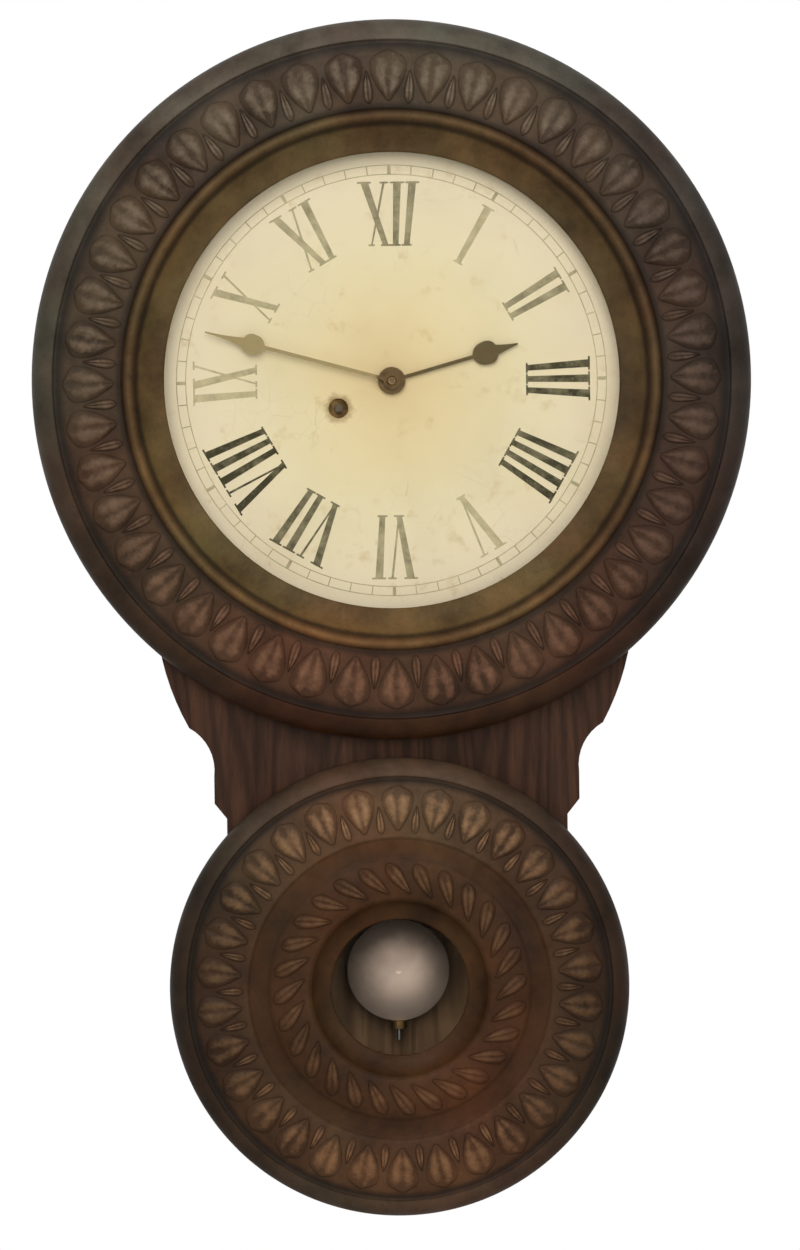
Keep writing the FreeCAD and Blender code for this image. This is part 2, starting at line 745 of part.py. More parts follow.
CRUTCH_PIN_REACH = 2.0
COCK_HALF = 7.0
COCK_ARM = 3.0
COCK_FOOT = 2.5
COCK_REACH = 5.0
COCK_TOP = 2.0
CHOPS_HEIGHT = 9.0
CHOPS_HALF = 3.5
SUSPENSION_WIDTH = 5.0
SUSPENSION_THICKNESS = 0.4
SUSPENSION_LENGTH = 14.0
SUSPENSION_AIR = 0.3
FERRULE_RADIUS = 2.4
FERRULE_LENGTH = 12.0
ROD_TAIL = 13.0
BORE_END = 1.0
NUT_AIR = 0.3
RATING_NUT_RADIUS = 6.0
RATING_NUT_HEIGHT = 5.0
MINUTE_PINION_LENGTH = 3.2
CANNON_MARGIN = 0.6
PIPE_END = 0.2
ARBOR_END = 0.4
HAND_NUT_RADIUS = 3.2
HAND_NUT_HEIGHT = 2.6
HAND_NUT_CHAMFER = 0.9
HAND_NUT_STRAIGHT_SHARE = 0.5
HAND_STEM = 1.2
HAND_TIP = 0.5
SPADE_SHARE = 0.74
SPADE_NECK_SHARE = 1.1
SPADE_HEEL_SHARE = 1.15
SPADE_SIDE_SHARE = 0.9
SPADE_POINT_SHARE = 0.45
SPADE_TAPER_SHARE = 1.2


# Wooden case


def waist_corners(side):
    """Right side of the waist from the upper hoop down, or its mirror image for side -1."""
    upper_start = root(upper_case_radius * upper_case_radius - S.shoulder_half * S.shoulder_half)
    lower_end = root(lower_case_radius * lower_case_radius - S.neck_half * S.neck_half)
    lower_top = lower_case_radius - centre_distance
    ear_top = lower_top - S.ear_top
    ear_foot = ear_top - S.ear_height
    quirk = -(upper_case_radius + S.quirk_drop)
    return {
        "shoulder": (side * S.shoulder_half, -upper_start),
        "quirk": (side * S.quirk_half, quirk),
        "ear_top": (side * S.ear_half, ear_top),
        "ear_foot": (side * S.ear_half, ear_foot),
        "neck": (side * S.neck_half, ear_foot - S.neck_slope),
        "lower": (side * S.neck_half, lower_end - centre_distance),
    }


def case_outline():
    """Figure of eight with shaped shoulders, about the dial centre, clockwise from the top."""
    right = waist_corners(1)
    left = waist_corners(-1)
    return [
        (0, upper_case_radius, upper_case_radius, -1),
        (*right["shoulder"], upper_case_radius, -1),
        (*right["quirk"], S.shoulder_round, -1),
        (*right["ear_top"], S.cove_round, 1),
        right["ear_foot"],
        right["neck"],
        right["lower"],
        (0, -(centre_distance + lower_case_radius), lower_case_radius, -1),
        (*left["lower"], lower_case_radius, -1),
        left["neck"],
        left["ear_foot"],
        left["ear_top"],
        (*left["quirk"], S.cove_round, 1),
        (*left["shoulder"], S.shoulder_round, -1),
    ]


def hinge_seat(case_radius, length, spread):
    """Flat seat for the hinges on the left side of the round case."""
    reach = spread + length / 2
    return -root(case_radius * case_radius - reach * reach)


def hinge_axis(case_radius, length, spread):
    return hinge_seat(case_radius, length, spread) - S.hinge_leaf - S.knuckle_radius + KNUCKLE_SINK


def hinge_mortises(sketch, case_radius, middle, length, spread):
    """Flats for the case leaves, cut from outside the round edge."""
    seat = hinge_seat(case_radius, length, spread)
    for side in (-1, 1):
        centre = middle + side * spread
        draw_box(sketch, seat - MORTISE_REACH, centre - length / 2, seat, centre + length / 2)


def make_case_back():
    body = new_body("case_back")
    sketch = face_sketch(body, 0)
    draw_loop(sketch, case_outline())
    pad(body, sketch, S.back_thickness)
    seat = face_sketch(body, 0)
    half_length = S.hanger_length / 2
    half_width = S.hanger_width / 2
    draw_box(seat, -half_length, hanger_drop - half_width, half_length, hanger_drop + half_width)
    pocket(body, seat, S.hanger_thickness, forwards=True)
    relief = face_sketch(body, 0)
    draw_circle(relief, 0, hanger_drop, S.nail_relief_radius)
    pocket(body, relief, S.nail_relief_depth, forwards=True)
    screws = face_sketch(body, 0)
    for side in (-1, 1):
        draw_circle(screws, side * S.hanger_screw_reach, hanger_drop, HANGER_SHANK)
    pocket(body, screws, HANGER_SCREW_LENGTH, forwards=True)
    place(body, 0, 0, dial_z)


def make_case_front():
    body = new_body("case_front")
    sketch = face_sketch(body, hoop_front)
    draw_loop(sketch, case_outline())
    draw_circle(sketch, 0, 0, S.dial_opening_radius)
    draw_circle(sketch, 0, -centre_distance, S.lower_opening_radius)
    pad(body, sketch, S.front_thickness)
    mortises = face_sketch(body, case_front_depth)
    hinge_mortises(mortises, upper_case_radius, as_size(0), S.upper_hinge_length, S.upper_hinge_spread)
    hinge_mortises(mortises, lower_case_radius, -centre_distance, S.lower_hinge_length, S.lower_hinge_spread)
    pocket(body, mortises, S.front_thickness)
    screws = face_sketch(body, case_front_depth)
    for x, up in dial_screw_places():
        draw_circle(screws, x, up, DIAL_SHANK)
    pocket(body, screws, DIAL_SCREW_LENGTH)
    place(body, 0, 0, dial_z)


def make_hoop(label, radius, opening_side, z):
    """Bent wooden hoop, open over the pendulum's passage; opening_side is -1 at the bottom."""
    inner = radius - S.hoop_wall
    outer_end = opening_side * root(radius * radius - S.channel_half * S.channel_half)
    inner_end = opening_side * root(inner * inner - S.channel_half * S.channel_half)
    bend = -opening_side
    body = new_body(label)
    sketch = face_sketch(body, S.back_thickness)
    steps = [
        (S.channel_half, outer_end),
        (0, -opening_side * radius, radius, bend),
        (-S.channel_half, outer_end, radius, bend),
        (-S.channel_half, inner_end),
        (0, -opening_side * inner, inner, -bend),
        (S.channel_half, inner_end, inner, -bend),
    ]
    draw_loop(sketch, steps)
    pad(body, sketch, S.hoop_depth)
    hole = side_sketch(body, radius)
    draw_circle(hole, -hook_depth(), 0, HOOK_SCREW_RADIUS)
    pocket(body, hole, HOOK_SCREW_SINK)
    place(body, 0, 0, z)


def make_waist(label, side):
    """Shoulder block between the hoops, with its outer edge shaped."""
    corners = waist_corners(side)
    upper_end = root(upper_case_radius * upper_case_radius - S.channel_half * S.channel_half)
    lower_start = root(lower_case_radius * lower_case_radius - S.channel_half * S.channel_half)
    body = new_body(label)
    sketch = face_sketch(body, S.back_thickness)
    steps = [
        (*corners["shoulder"], upper_case_radius, side),
        (*corners["quirk"], S.shoulder_round, -side),
        (*corners["ear_top"], S.cove_round, side),
        corners["ear_foot"],
        corners["neck"],
        corners["lower"],
        (side * S.channel_half, lower_start - centre_distance, lower_case_radius, side),
        (side * S.channel_half, -upper_end),
    ]
    draw_loop(sketch, steps)
    pad(body, sketch, S.hoop_depth)
    place(body, 0, 0, dial_z)


def make_hanger():
    body = new_body("hanger_plate")
    sketch = face_sketch(body, 0)
    half_length = S.hanger_length / 2
    half_width = S.hanger_width / 2
    draw_box(sketch, -half_length, -half_width, half_length, half_width)
    draw_circle(sketch, 0, 0, S.hanger_hole)
    for side in (-1, 1):
        draw_circle(sketch, side * S.hanger_screw_reach, 0, HANGER_HEAD)
    pad(body, sketch, S.hanger_thickness)
    screws = []
    for number, side in enumerate((-1, 1)):
        x = side * S.hanger_screw_reach
        head = cylinder(f"hanger_head_{number}", HANGER_HEAD, S.hanger_thickness, x, 0, 0, ALONG_DEPTH)
        shank = cylinder(f"hanger_shank_{number}", HANGER_SHANK, HANGER_SCREW_LENGTH, x, 0, 0, ALONG_DEPTH)
        screws.append(fuse(f"hanger_screw_{number}", [head, shank]))
    group("hanger_screws", screws)


# Dial and its screws


def dial_screw_places():
    reach = (S.sight_radius + S.dial_margin / 2) * math.sqrt(0.5)
    return [(x * reach, up * reach) for x in (-1, 1) for up in (-1, 1)]


def make_dial():
    body = new_body("dial")
    sketch = face_sketch(body, case_front_depth)
    draw_circle(sketch, 0, 0, S.sight_radius + S.dial_margin)
    draw_circle(sketch, 0, 0, S.dial_centre_hole)
    draw_circle(sketch, great_x, great_up, S.winding_hole)
    for x, up in dial_screw_places():
        draw_circle(sketch, x, up, DIAL_SHANK)
    pad(body, sketch, S.dial_thickness)
    place(body, 0, 0, dial_z)
    screws = []
    for number, (x, up) in enumerate(dial_screw_places()):
        head = cylinder(f"dial_head_{number}", DIAL_HEAD, DIAL_HEAD_HEIGHT, x, dial_front, dial_z + up,
                        ALONG_DEPTH)
        shank = cylinder(f"dial_shank_{number}", DIAL_SHANK, DIAL_SCREW_LENGTH + S.dial_thickness, x,
                         case_front_depth - DIAL_SCREW_LENGTH, dial_z + up, ALONG_DEPTH)
        screws.append(fuse(f"dial_screw_{number}", [head, shank]))
    group("dial_screws", screws)


# Doors


def make_upper_door():
    rim = S.upper_door_radius
    sight = S.sight_radius
    lip = sight + S.glass_margin + S.glass_play
    glass_front = door_back + S.glass_seat
    lip_front = glass_front + S.lip_thickness
    band_foot = door_back + S.upper_band_height
    crest = door_back + S.upper_crest_height
    bead_inner = sight + S.upper_bead_start
    bead_outer = bead_inner + S.upper_bead_width
    rim_inner = rim - S.upper_rim_width
    steps = [
        (rim, door_back),
        (rim, door_back + S.upper_rim_height),
        (rim_inner, band_foot + S.rim_rise, S.upper_rim_round, 1),
        (rim_inner - S.quirk_width, band_foot - S.quirk_sink),
        (rim - S.upper_band_edge, band_foot - S.quirk_sink),
        (bead_outer + S.quirk_width, crest, S.upper_band_round, 1),
        (bead_outer, crest - S.quirk_width),
        (bead_inner, crest - S.quirk_width, S.upper_bead_round, 1),
        (bead_inner - S.quirk_width, crest - 2 * S.quirk_width),
        (sight + S.quirk_width, lip_front, S.upper_cove_round, -1),
        (sight, lip_front - S.lip_chamfer),
        (sight, glass_front),
        (lip, glass_front),
        (lip, door_back + S.glass_wall_foot),
        (lip + S.glass_wall, door_back + S.glass_wall_foot),
        (lip + S.glass_wall, glass_front + S.hollow_step),
        (sight + S.upper_hollow_inner, crest - S.upper_shell),
        (rim - S.upper_hollow_outer, band_foot - S.upper_shell),
        (rim - S.upper_rim_wall, door_back + S.upper_rim_height),
        (rim - S.upper_rim_wall, door_back),
    ]
    body = turned("upper_door_ring", steps, 0, dial_z)
    cut_keeper_seat(body, S.upper_door_radius)
    glass_radius = sight + S.glass_margin
    make_glass("dial_glass", glass_radius, glass_front, S.glass_thickness, dial_z)
    bead_front = glass_front - S.glass_thickness
    make_glass_bead("dial_glass_bead", sight, glass_radius, bead_front, S.glass_bead_height, dial_z)


def make_lower_door():
    rim = S.lower_door_radius
    sight = S.window_radius
    lip = sight + S.window_margin + S.glass_play
    glass_front = door_back + S.window_seat
    lip_front = glass_front + S.lip_thickness
    foot = door_back + S.lower_band_height
    rim_inner = rim - S.lower_rim_width
    outer_start = rim - S.lower_band_edge
    outer_end = outer_start - S.outer_band_width
    inner_end = sight + S.window_bevel
    inner_start = inner_end + S.inner_band_width
    wall_back = door_back + S.window_wall_foot
    steps = [
        (rim, door_back),
        (rim, door_back + S.lower_rim_height),
        (rim_inner, foot + S.rim_rise, S.lower_rim_round, 1),
        (rim_inner - S.quirk_width, foot),
        (outer_start, foot),
        (outer_end, foot + S.band_rise, S.outer_band_round, 1),
        (outer_end - S.band_bevel, foot),
        (inner_start + S.band_bevel, foot),
        (inner_start, foot + S.quirk_width),
        (inner_end, foot + S.band_rise, S.inner_band_round, 1),
        (inner_end - S.band_bevel, foot + S.quirk_sink),
        (sight + S.quirk_width, lip_front, S.lower_cove_round, -1),
        (sight, lip_front - S.lip_chamfer),
        (sight, glass_front),
        (lip, glass_front),
        (lip, wall_back),
        (lip + S.glass_wall, wall_back),
        (lip + S.glass_wall, foot - S.window_wall_shell),
        (inner_end + S.lower_hollow_inset, foot - S.lower_shell),
        (outer_start - S.lower_hollow_inset, foot - S.lower_shell),
        (rim - S.lower_rim_wall, door_back + S.lower_rim_height),
        (rim - S.lower_rim_wall, door_back),
    ]
    body = turned("lower_door_ring", steps, 0, lower_z)
    cut_keeper_seat(body, S.lower_door_radius)
    glass_radius = sight + S.window_margin
    make_glass("window_glass", glass_radius, glass_front, S.window_thickness, lower_z)
    bead_front = glass_front - S.window_thickness
    make_glass_bead("window_bead", sight, glass_radius, bead_front, S.window_bead_height, lower_z)


def cut_keeper_seat(body, door_radius):
    """Mortise in the back of a door for the foot of its keeper."""
    sketch = face_sketch(body, door_back)
    draw_box(sketch, door_radius - KEEPER_FOOT, -KEEPER_HALF, door_radius + KEEPER_SEAT_REACH, KEEPER_HALF)
    pocket(body, sketch, S.hinge_leaf, forwards=True)


def make_glass(label, radius, front, thickness, z):
    body = new_body(label)
    sketch = face_sketch(body, front - thickness)
    draw_circle(sketch, 0, 0, radius)
    pad(body, sketch, thickness)
    place(body, 0, 0, z)


def make_glass_bead(label, sight, outer, front, height, z):
    """Ring behind a glass, set back a little from the visible opening."""
    inner = sight + BEAD_REVEAL
    steps = [
        (outer, front),
        (inner, front),
        (inner, front - BEAD_EDGE),
        (outer - BEAD_BACK, front - height),
        (outer, front - height),
    ]
    turned(label, steps, 0, z)


# Hinges, hooks and keepers


def hinge_places(middle, spread):
    return [middle - spread, middle + spread]


def knuckled(name, plate, tongues, axis, depth, spans, bore):
    """One leaf: its plate, the tongues out to the pin and a knuckle over each span, bored for the pin."""
    solids = [plate] + tongues
    for count, (low, high) in enumerate(spans):
        solids.append(cylinder(f"{name}_knuckle_{count}", S.knuckle_radius, high - low, axis, depth, low))
    hole = cylinder(name + "_hole", bore, spans[-1][1] - spans[0][0], axis, depth, spans[0][0])
    return cut(name, fuse(name + "_body", solids), hole)


def case_leaf(name, seat, axis, depth, bottom, length):
    """Leaf on the side of the case, with the two outer knuckles."""
    near = depth - S.knuckle_radius - S.knuckle_air
    far = depth - S.hinge_case_width
    third = length / 3
    spans = [(bottom, bottom + third), (bottom + 2 * third, bottom + length)]
    plate = box(name + "_plate", seat - S.hinge_leaf, seat, far, near, bottom, bottom + length)
    tongues = []
    for count, (low, high) in enumerate(spans):
        tongues.append(box(f"{name}_tongue_{count}", seat - S.hinge_leaf, seat, near, depth, low, high))
    return knuckled(name, plate, tongues, axis, depth, spans, S.hinge_pin_radius)


def door_leaf(name, axis, depth, bottom, length):
    """Leaf on the back of the door's overhanging rim, with the middle knuckle."""
    near = axis - S.knuckle_radius - S.knuckle_air
    far = axis - S.hinge_door_width
    third = length / 3
    low = bottom + third + S.knuckle_air
    high = bottom + 2 * third - S.knuckle_air
    back = door_back - S.hinge_leaf
    plate = box(name + "_plate", far, near, back, door_back, bottom, bottom + length)
    tongue = box(name + "_tongue", near, axis, back, door_back, low, high)
    return knuckled(name, plate, [tongue], axis, depth, [(low, high)], S.hinge_pin_radius + S.pivot_play)


def make_hinges(prefix, case_radius, middle, length, spread):
    seat = hinge_seat(case_radius, length, spread)
    axis = hinge_axis(case_radius, length, spread)
    depth = door_back - S.hinge_set_back
    case_leaves = []
    door_leaves = []
    pins = []
    for number, z in enumerate(hinge_places(middle, spread)):
        bottom = z - length / 2
        case_leaves.append(case_leaf(f"{prefix}_case_leaf_{number}", seat, axis, depth, bottom, length))
        door_leaves.append(door_leaf(f"{prefix}_door_leaf_{number}", axis, depth, bottom, length))
        pins.append(cylinder(f"{prefix}_pin_{number}", S.hinge_pin_radius, length, axis, depth, bottom))
    group(f"{prefix}_hinge_case_leaves", case_leaves)
    group(f"{prefix}_hinge_door_leaves", door_leaves)
    group(f"{prefix}_hinge_pins", pins)


def make_hook(prefix, case_radius, z):
    """Flat hook hanging from its screw on the right side of the case, notch towards the room."""
    inner = case_radius + HOOK_SIDE_AIR
    half = S.hook_half_width
    slot = S.hook_pin_radius + S.hook_pin_air
    end = S.hook_reach + slot + HOOK_TIP
    notch = slot * NOTCH_DEPTH_SHARE
    body = new_body(f"{prefix}_hook")
    sketch = side_sketch(body, inner)
    steps = [
        (-half, 0, half, 1),
        (-half, -(S.hook_reach - slot)),
        (notch, -(S.hook_reach - slot)),
        (notch, -(S.hook_reach + slot), slot * NOTCH_ROUND_SHARE, -1),
        (-half, -(S.hook_reach + slot)),
        (-half, -end + HOOK_NOSE_CUT),
        (-half + HOOK_NOSE_CUT, -end),
        (half - HOOK_HEEL_CUT, -end),
        (half, -end + HOOK_HEEL_CUT),
        (half, 0),
        (0, half, half, 1),
    ]
    draw_loop(sketch, steps)
    draw_circle(sketch, 0, 0, HOOK_SCREW_RADIUS + S.pivot_play)
    pad(body, sketch, S.hook_thickness)
    place(body, 0, hook_depth(), z)


def hook_depth():
    """Depth of the hook's screw, so that the swung hook ends on the keeper's pin."""
    return keeper_pin_depth() - S.hook_reach


def keeper_pin_depth():
    return case_front_depth - KEEPER_PIN_BACK


def hook_screw(prefix, case_radius, z):
    shoulder = S.hook_thickness + HOOK_SIDE_AIR + HOOK_HEAD_AIR
    name = f"{prefix}_hook_screw"
    depth = hook_depth()
    start = case_radius - HOOK_SCREW_SINK
    shank = cylinder(name + "_shank", HOOK_SCREW_RADIUS, shoulder + HOOK_SCREW_SINK, start, depth, z, ALONG_X)
    head = cylinder(name + "_head", HOOK_HEAD_RADIUS, HOOK_HEAD_HEIGHT, case_radius + shoulder, depth, z,
                    ALONG_X)
    return fuse(name, [shank, head])


def make_keeper(prefix, case_radius, door_radius, z):
    """Bent plate let into the back of the door, with the pin that the hook catches."""
    arm = case_radius + HOOK_SIDE_AIR + S.hook_thickness + KEEPER_AIR
    name = f"{prefix}_keeper"
    outside = arm + KEEPER_WALL
    low = z - KEEPER_HALF
    high = z + KEEPER_HALF
    foot = box(name + "_foot", door_radius - KEEPER_FOOT, outside, door_back, door_back + S.hinge_leaf,
               low, high)
    wall = box(name + "_wall", arm, outside, keeper_pin_depth() - KEEPER_PIN_MARGIN, door_back, low, high)
    pin_start = case_radius + HOOK_SIDE_AIR - KEEPER_PIN_AIR
    pin_length = arm - pin_start
    pin = cylinder(name + "_pin", S.hook_pin_radius, pin_length, pin_start, keeper_pin_depth(), z, ALONG_X)
    keep(fuse(name, [foot, wall, pin]), name)


# Movement: plates, pillars and what carries them


def plate_loop(sketch, left, right):
    """Plate with rounded corners, about the dial centre."""
    corner = S.plate_corner
    top = S.plate_top
    bottom = -S.plate_bottom
    steps = [
        (left + corner, bottom, corner, 1),
        (right - corner, bottom),
        (right, bottom + corner, corner, 1),
        (right, top - corner),
        (right - corner, top, corner, 1),
        (left + corner, top),
        (left, top - corner, corner, 1),
        (left, bottom + corner),
    ]
    draw_loop(sketch, steps)


def pillar_places():
    left = -S.plate_left + S.pillar_inset
    right = S.plate_right - S.pillar_inset
    low = -S.plate_bottom + S.pillar_inset
    high = S.plate_top - S.pillar_inset
    return [(left, low), (right, low), (left, high), (right, high)]


def lug_places():
    """Screws through the back plate's side lugs."""
    left = -S.plate_left - S.plate_lug / 2
    right = S.plate_right + S.plate_lug / 2
    low = -S.plate_bottom + LUG_SCREW_INSET
    high = S.plate_top - LUG_SCREW_INSET
    return [(left, low), (left, high), (right, low), (right, high)]


def draw_train_holes(sketch, winding, verge):
    draw_circle(sketch, 0, 0, centre_hole)
    draw_circle(sketch, great_x, great_up, winding)
    draw_circle(sketch, third_x, third_up, pivot_hole)
    draw_circle(sketch, 0, escape_up, pivot_hole)
    draw_circle(sketch, 0, verge_up, verge)
    for x, up in pillar_places():
        draw_circle(sketch, x, up, PILLAR_STUB)


def make_plates():
    back = new_body("back_plate")
    sketch = face_sketch(back, plate_back)
    plate_loop(sketch, -S.plate_left - S.plate_lug, S.plate_right + S.plate_lug)
    draw_train_holes(sketch, WINDING_PIVOT + S.pivot_play, S.arbor_radius + S.pivot_play)
    for x, up in lug_places():
        draw_circle(sketch, x, up, LUG_SCREW)
    pad(back, sketch, S.plate_thickness)
    place(back, 0, 0, dial_z)
    front = new_body("front_plate")
    sketch = face_sketch(front, train_front)
    plate_loop(sketch, -S.plate_left, S.plate_right)
    draw_train_holes(sketch, winding_bore, pivot_hole)
    pad(front, sketch, S.plate_thickness)
    post = face_sketch(front, train_front)
    draw_circle(post, motion_x, motion_up, POST_RADIUS)
    pad(front, post, hour_wheel_depth + S.wheel_thickness + POST_END - train_front)
    place(front, 0, 0, dial_z)


def make_pillars():
    pillars = []
    nuts = []
    for number, (x, up) in enumerate(pillar_places()):
        z = dial_z + up
        name = f"pillar_{number}"
        shaft = cylinder(name + "_shaft", S.pillar_radius, S.plate_space, x, train_back, z, ALONG_DEPTH)
        stub_length = S.plate_space + 2 * S.plate_thickness + NUT_HEIGHT + STUB_END
        stub = cylinder(name + "_stub", PILLAR_STUB, stub_length, x, plate_back, z, ALONG_DEPTH)
        pillars.append(fuse(name, [shaft, stub]))
        blank = doc.addObject("Part::Prism", f"nut_{number}_blank")
        blank.Polygon = NUT_SIDES
        blank.Circumradius = NUT_RADIUS
        blank.Height = NUT_HEIGHT
        place(blank, x, plate_front, z, ALONG_DEPTH)
        hole = cylinder(f"nut_{number}_hole", PILLAR_STUB, NUT_HEIGHT, x, plate_front, z, ALONG_DEPTH)
        nuts.append(cut(f"nut_{number}", blank, hole))
    group("plate_pillars", pillars)
    group("pillar_nuts", nuts)


def make_movement_blocks():
    """Upright wooden blocks on the backboard, and the screws that hold the back plate to them."""
    blocks = []
    screws = []
    half = S.plate_lug / 2 + BLOCK_MARGIN
    for number, middle in enumerate((-S.plate_left - S.plate_lug / 2, S.plate_right + S.plate_lug / 2)):
        name = f"movement_block_{number}"
        wood = box(name + "_wood", middle - half, middle + half, S.back_thickness, plate_back,
                   dial_z - S.plate_bottom, dial_z + S.plate_top)
        places = [(x, up) for x, up in lug_places() if x.value == middle.value]
        holes = []
        for count, (x, up) in enumerate(places):
            hole = f"{name}_hole_{count}"
            holes.append(cylinder(hole, LUG_SCREW, LUG_SCREW_LENGTH, x, train_back - LUG_SCREW_LENGTH,
                                  dial_z + up, ALONG_DEPTH))
        blocks.append(cut(name, wood, fuse(name + "_holes", holes)))
    for number, (x, up) in enumerate(lug_places()):
        name = f"movement_screw_{number}"
        shank = cylinder(name + "_shank", LUG_SCREW, LUG_SCREW_LENGTH, x, train_back - LUG_SCREW_LENGTH,
                         dial_z + up, ALONG_DEPTH)
        head = cylinder(name + "_head", LUG_HEAD, LUG_HEAD_HEIGHT, x, train_back, dial_z + up, ALONG_DEPTH)
        screws.append(fuse(name, [shank, head]))
    group("movement_blocks", blocks)
    group("movement_screws", screws)


# Going train


def lantern_arbor(label, steps, depth, length, module, bearing, x, up):
    """Arbor turned with its two shrouds, and the ring of trundles between them."""
    body = new_body(label)
    sketch = turning_sketch(body)
    draw_loop(sketch, steps)
    revolve(body, sketch)
    wire = face_sketch(body, depth)
    pitch_radius = S.pinion_leaves * module / 2
    bearing = as_size(bearing)
    trundle = TRUNDLE_SHARE * math.pi * module
    draw_circle(wire, pitch_radius * cosine(bearing), pitch_radius * sine(bearing), trundle)
    rod = pad(body, wire, length)
    polar_pattern(body, rod, wire, S.pinion_leaves)
    place(body, x, 0, dial_z + up)


def shroud_radius(module):
    return S.pinion_leaves * module / 2 + TRUNDLE_SHARE * math.pi * module + SHROUD_EDGE


def pivoted_steps(inner_steps):
    """Half section of an arbor between the plates, with a pivot at each end."""
    return [
        (0, plate_back + PIVOT_END),
        (S.pivot_radius, plate_back + PIVOT_END),
        (S.pivot_radius, train_back + END_SHAKE),
        *inner_steps,
        (S.pivot_radius, train_front - END_SHAKE),
        (S.pivot_radius, plate_front - PIVOT_END),
        (0, plate_front - PIVOT_END),
    ]


def shroud_pair(arbor, shroud, wheel_depth, wheel_thickness):
    """Corners of the two shrouds on either side of a wheel's teeth."""
    back = wheel_depth - SHROUD_AIR
    front = wheel_depth + wheel_thickness + SHROUD_AIR
    return [
        (arbor, back - SHROUD_THICKNESS),
        (shroud, back - SHROUD_THICKNESS),
        (shroud, back),
        (arbor, back),
        (arbor, front),
        (shroud, front),
        (shroud, front + SHROUD_THICKNESS),
        (arbor, front + SHROUD_THICKNESS),
    ]


def make_train():
    arbor = S.arbor_radius
    span = SHROUD_AIR * 2 + SHROUD_THICKNESS

    # Centre wheel and pinion, on a sleeve that turns on the hand arbor
    shroud = shroud_radius(S.great_module)
    sleeve = [(SLEEVE_RADIUS, train_back + END_SHAKE)]
    sleeve += shroud_pair(as_size(SLEEVE_RADIUS), shroud, great_depth, S.great_thickness)
    sleeve += [
        (SLEEVE_RADIUS, train_front - SLEEVE_AIR),
        (centre_hole, train_front - SLEEVE_AIR),
        (centre_hole, train_back + END_SHAKE),
    ]
    wires = great_depth - SHROUD_AIR - SHROUD_THICKNESS / 2
    lantern_arbor("centre_pinion", sleeve, wires, S.great_thickness + span, S.great_module, S.great_bearing,
                  as_size(0), as_size(0))
    wheel = toothed_wheel(S.centre_teeth, S.centre_module, S.third_bearing, centre_wheel_depth,
                          S.wheel_thickness, SLEEVE_RADIUS, SPOKES)
    feature_shape("centre_wheel", wheel, 0, dial_z)

    # Third wheel and pinion
    shroud = shroud_radius(S.centre_module)
    steps = [(arbor, train_back + END_SHAKE)]
    steps += shroud_pair(arbor, shroud, centre_wheel_depth, S.wheel_thickness)
    steps += collet_steps(arbor, third_wheel_depth + S.wheel_thickness)
    steps += [(arbor, train_front - END_SHAKE)]
    wires = centre_wheel_depth - SHROUD_AIR - SHROUD_THICKNESS / 2
    lantern_arbor("third_arbor", pivoted_steps(steps), wires, S.wheel_thickness + span, S.centre_module,
                  S.third_bearing + 180, third_x, third_up)
    wheel = toothed_wheel(S.third_teeth, S.third_module, escape_bearing, third_wheel_depth,
                          S.wheel_thickness, arbor, SPOKES)
    feature_shape("third_wheel", wheel, third_x, dial_z + third_up)

    # Escape wheel and pinion
    shroud = shroud_radius(S.third_module)
    steps = [(arbor, train_back + END_SHAKE)]
    steps += shroud_pair(arbor, shroud, third_wheel_depth, S.wheel_thickness)
    steps += collet_steps(arbor, escape_wheel_depth + ESCAPE_THICKNESS)
    steps += [(arbor, train_front - END_SHAKE)]
    wires = third_wheel_depth - SHROUD_AIR - SHROUD_THICKNESS / 2
    lantern_arbor("escape_arbor", pivoted_steps(steps), wires, S.wheel_thickness + span, S.third_module,
                  escape_bearing + 180, as_size(0), escape_up)
    feature_shape("escape_wheel", escape_wheel_shape(), 0, dial_z + escape_up)


def collet_steps(arbor, depth):
    """Collet in front of a wheel."""
    radius = arbor + COLLET_WALL
    front = depth + COLLET_LENGTH
    return [(arbor, depth), (radius, depth), (radius, front), (arbor, front)]


def escape_wheel_shape():
    """Thin wheel with pointed teeth that lean forward."""
    teeth = int(S.escape_teeth.value)
    tip = S.escape_radius.value
    depth = escape_wheel_depth.value
    pitch = 360.0 / teeth
    points = []
    for number in range(teeth):
        start = number * pitch
        points.append(polar(tip * ESCAPE_ROOT_SHARE, start, depth))
        points.append(polar(tip, start + pitch * ESCAPE_TIP_SHARE, depth))
        points.append(polar(tip, start + pitch * ESCAPE_HEEL_SHARE, depth))
        points.append(polar(tip * ESCAPE_ROOT_SHARE, start + pitch * ESCAPE_BACK_SHARE, depth))
    holes = [ring_wire(S.arbor_radius.value, depth)]
    holes += spoke_windows(SPOKES, tip * ESCAPE_HUB_SHARE, tip * ESCAPE_RIM_SHARE, ESCAPE_SPOKE, depth)
    return loop_face(points, holes).extrude(Vector(0, -ESCAPE_THICKNESS, 0))


# Mainspring, great wheel and winding work


def make_great_wheel():
    gap = S.great_bearing - 180
    wheel = toothed_wheel(S.great_teeth, S.great_module, gap, great_depth, S.great_thickness,
                          winding_bore, SPOKES, GREAT_SPOKE)
    rivet_start = ratchet_depth.value
    rivet = Part.makeCylinder(CLICK_RIVET, great_depth.value - rivet_start + S.great_thickness.value,
                              Vector(0, -rivet_start, CLICK_PIVOT), Vector(0, -1, 0))
    feature_shape("great_wheel", wheel.fuse(rivet).removeSplitter(), great_x, dial_z + great_up)
    make_click()
    make_winding_arbor()
    feature_shape("ratchet_wheel", ratchet_shape(), great_x, dial_z + great_up)
    feature_shape("mainspring", mainspring_shape(), great_x, dial_z + great_up)


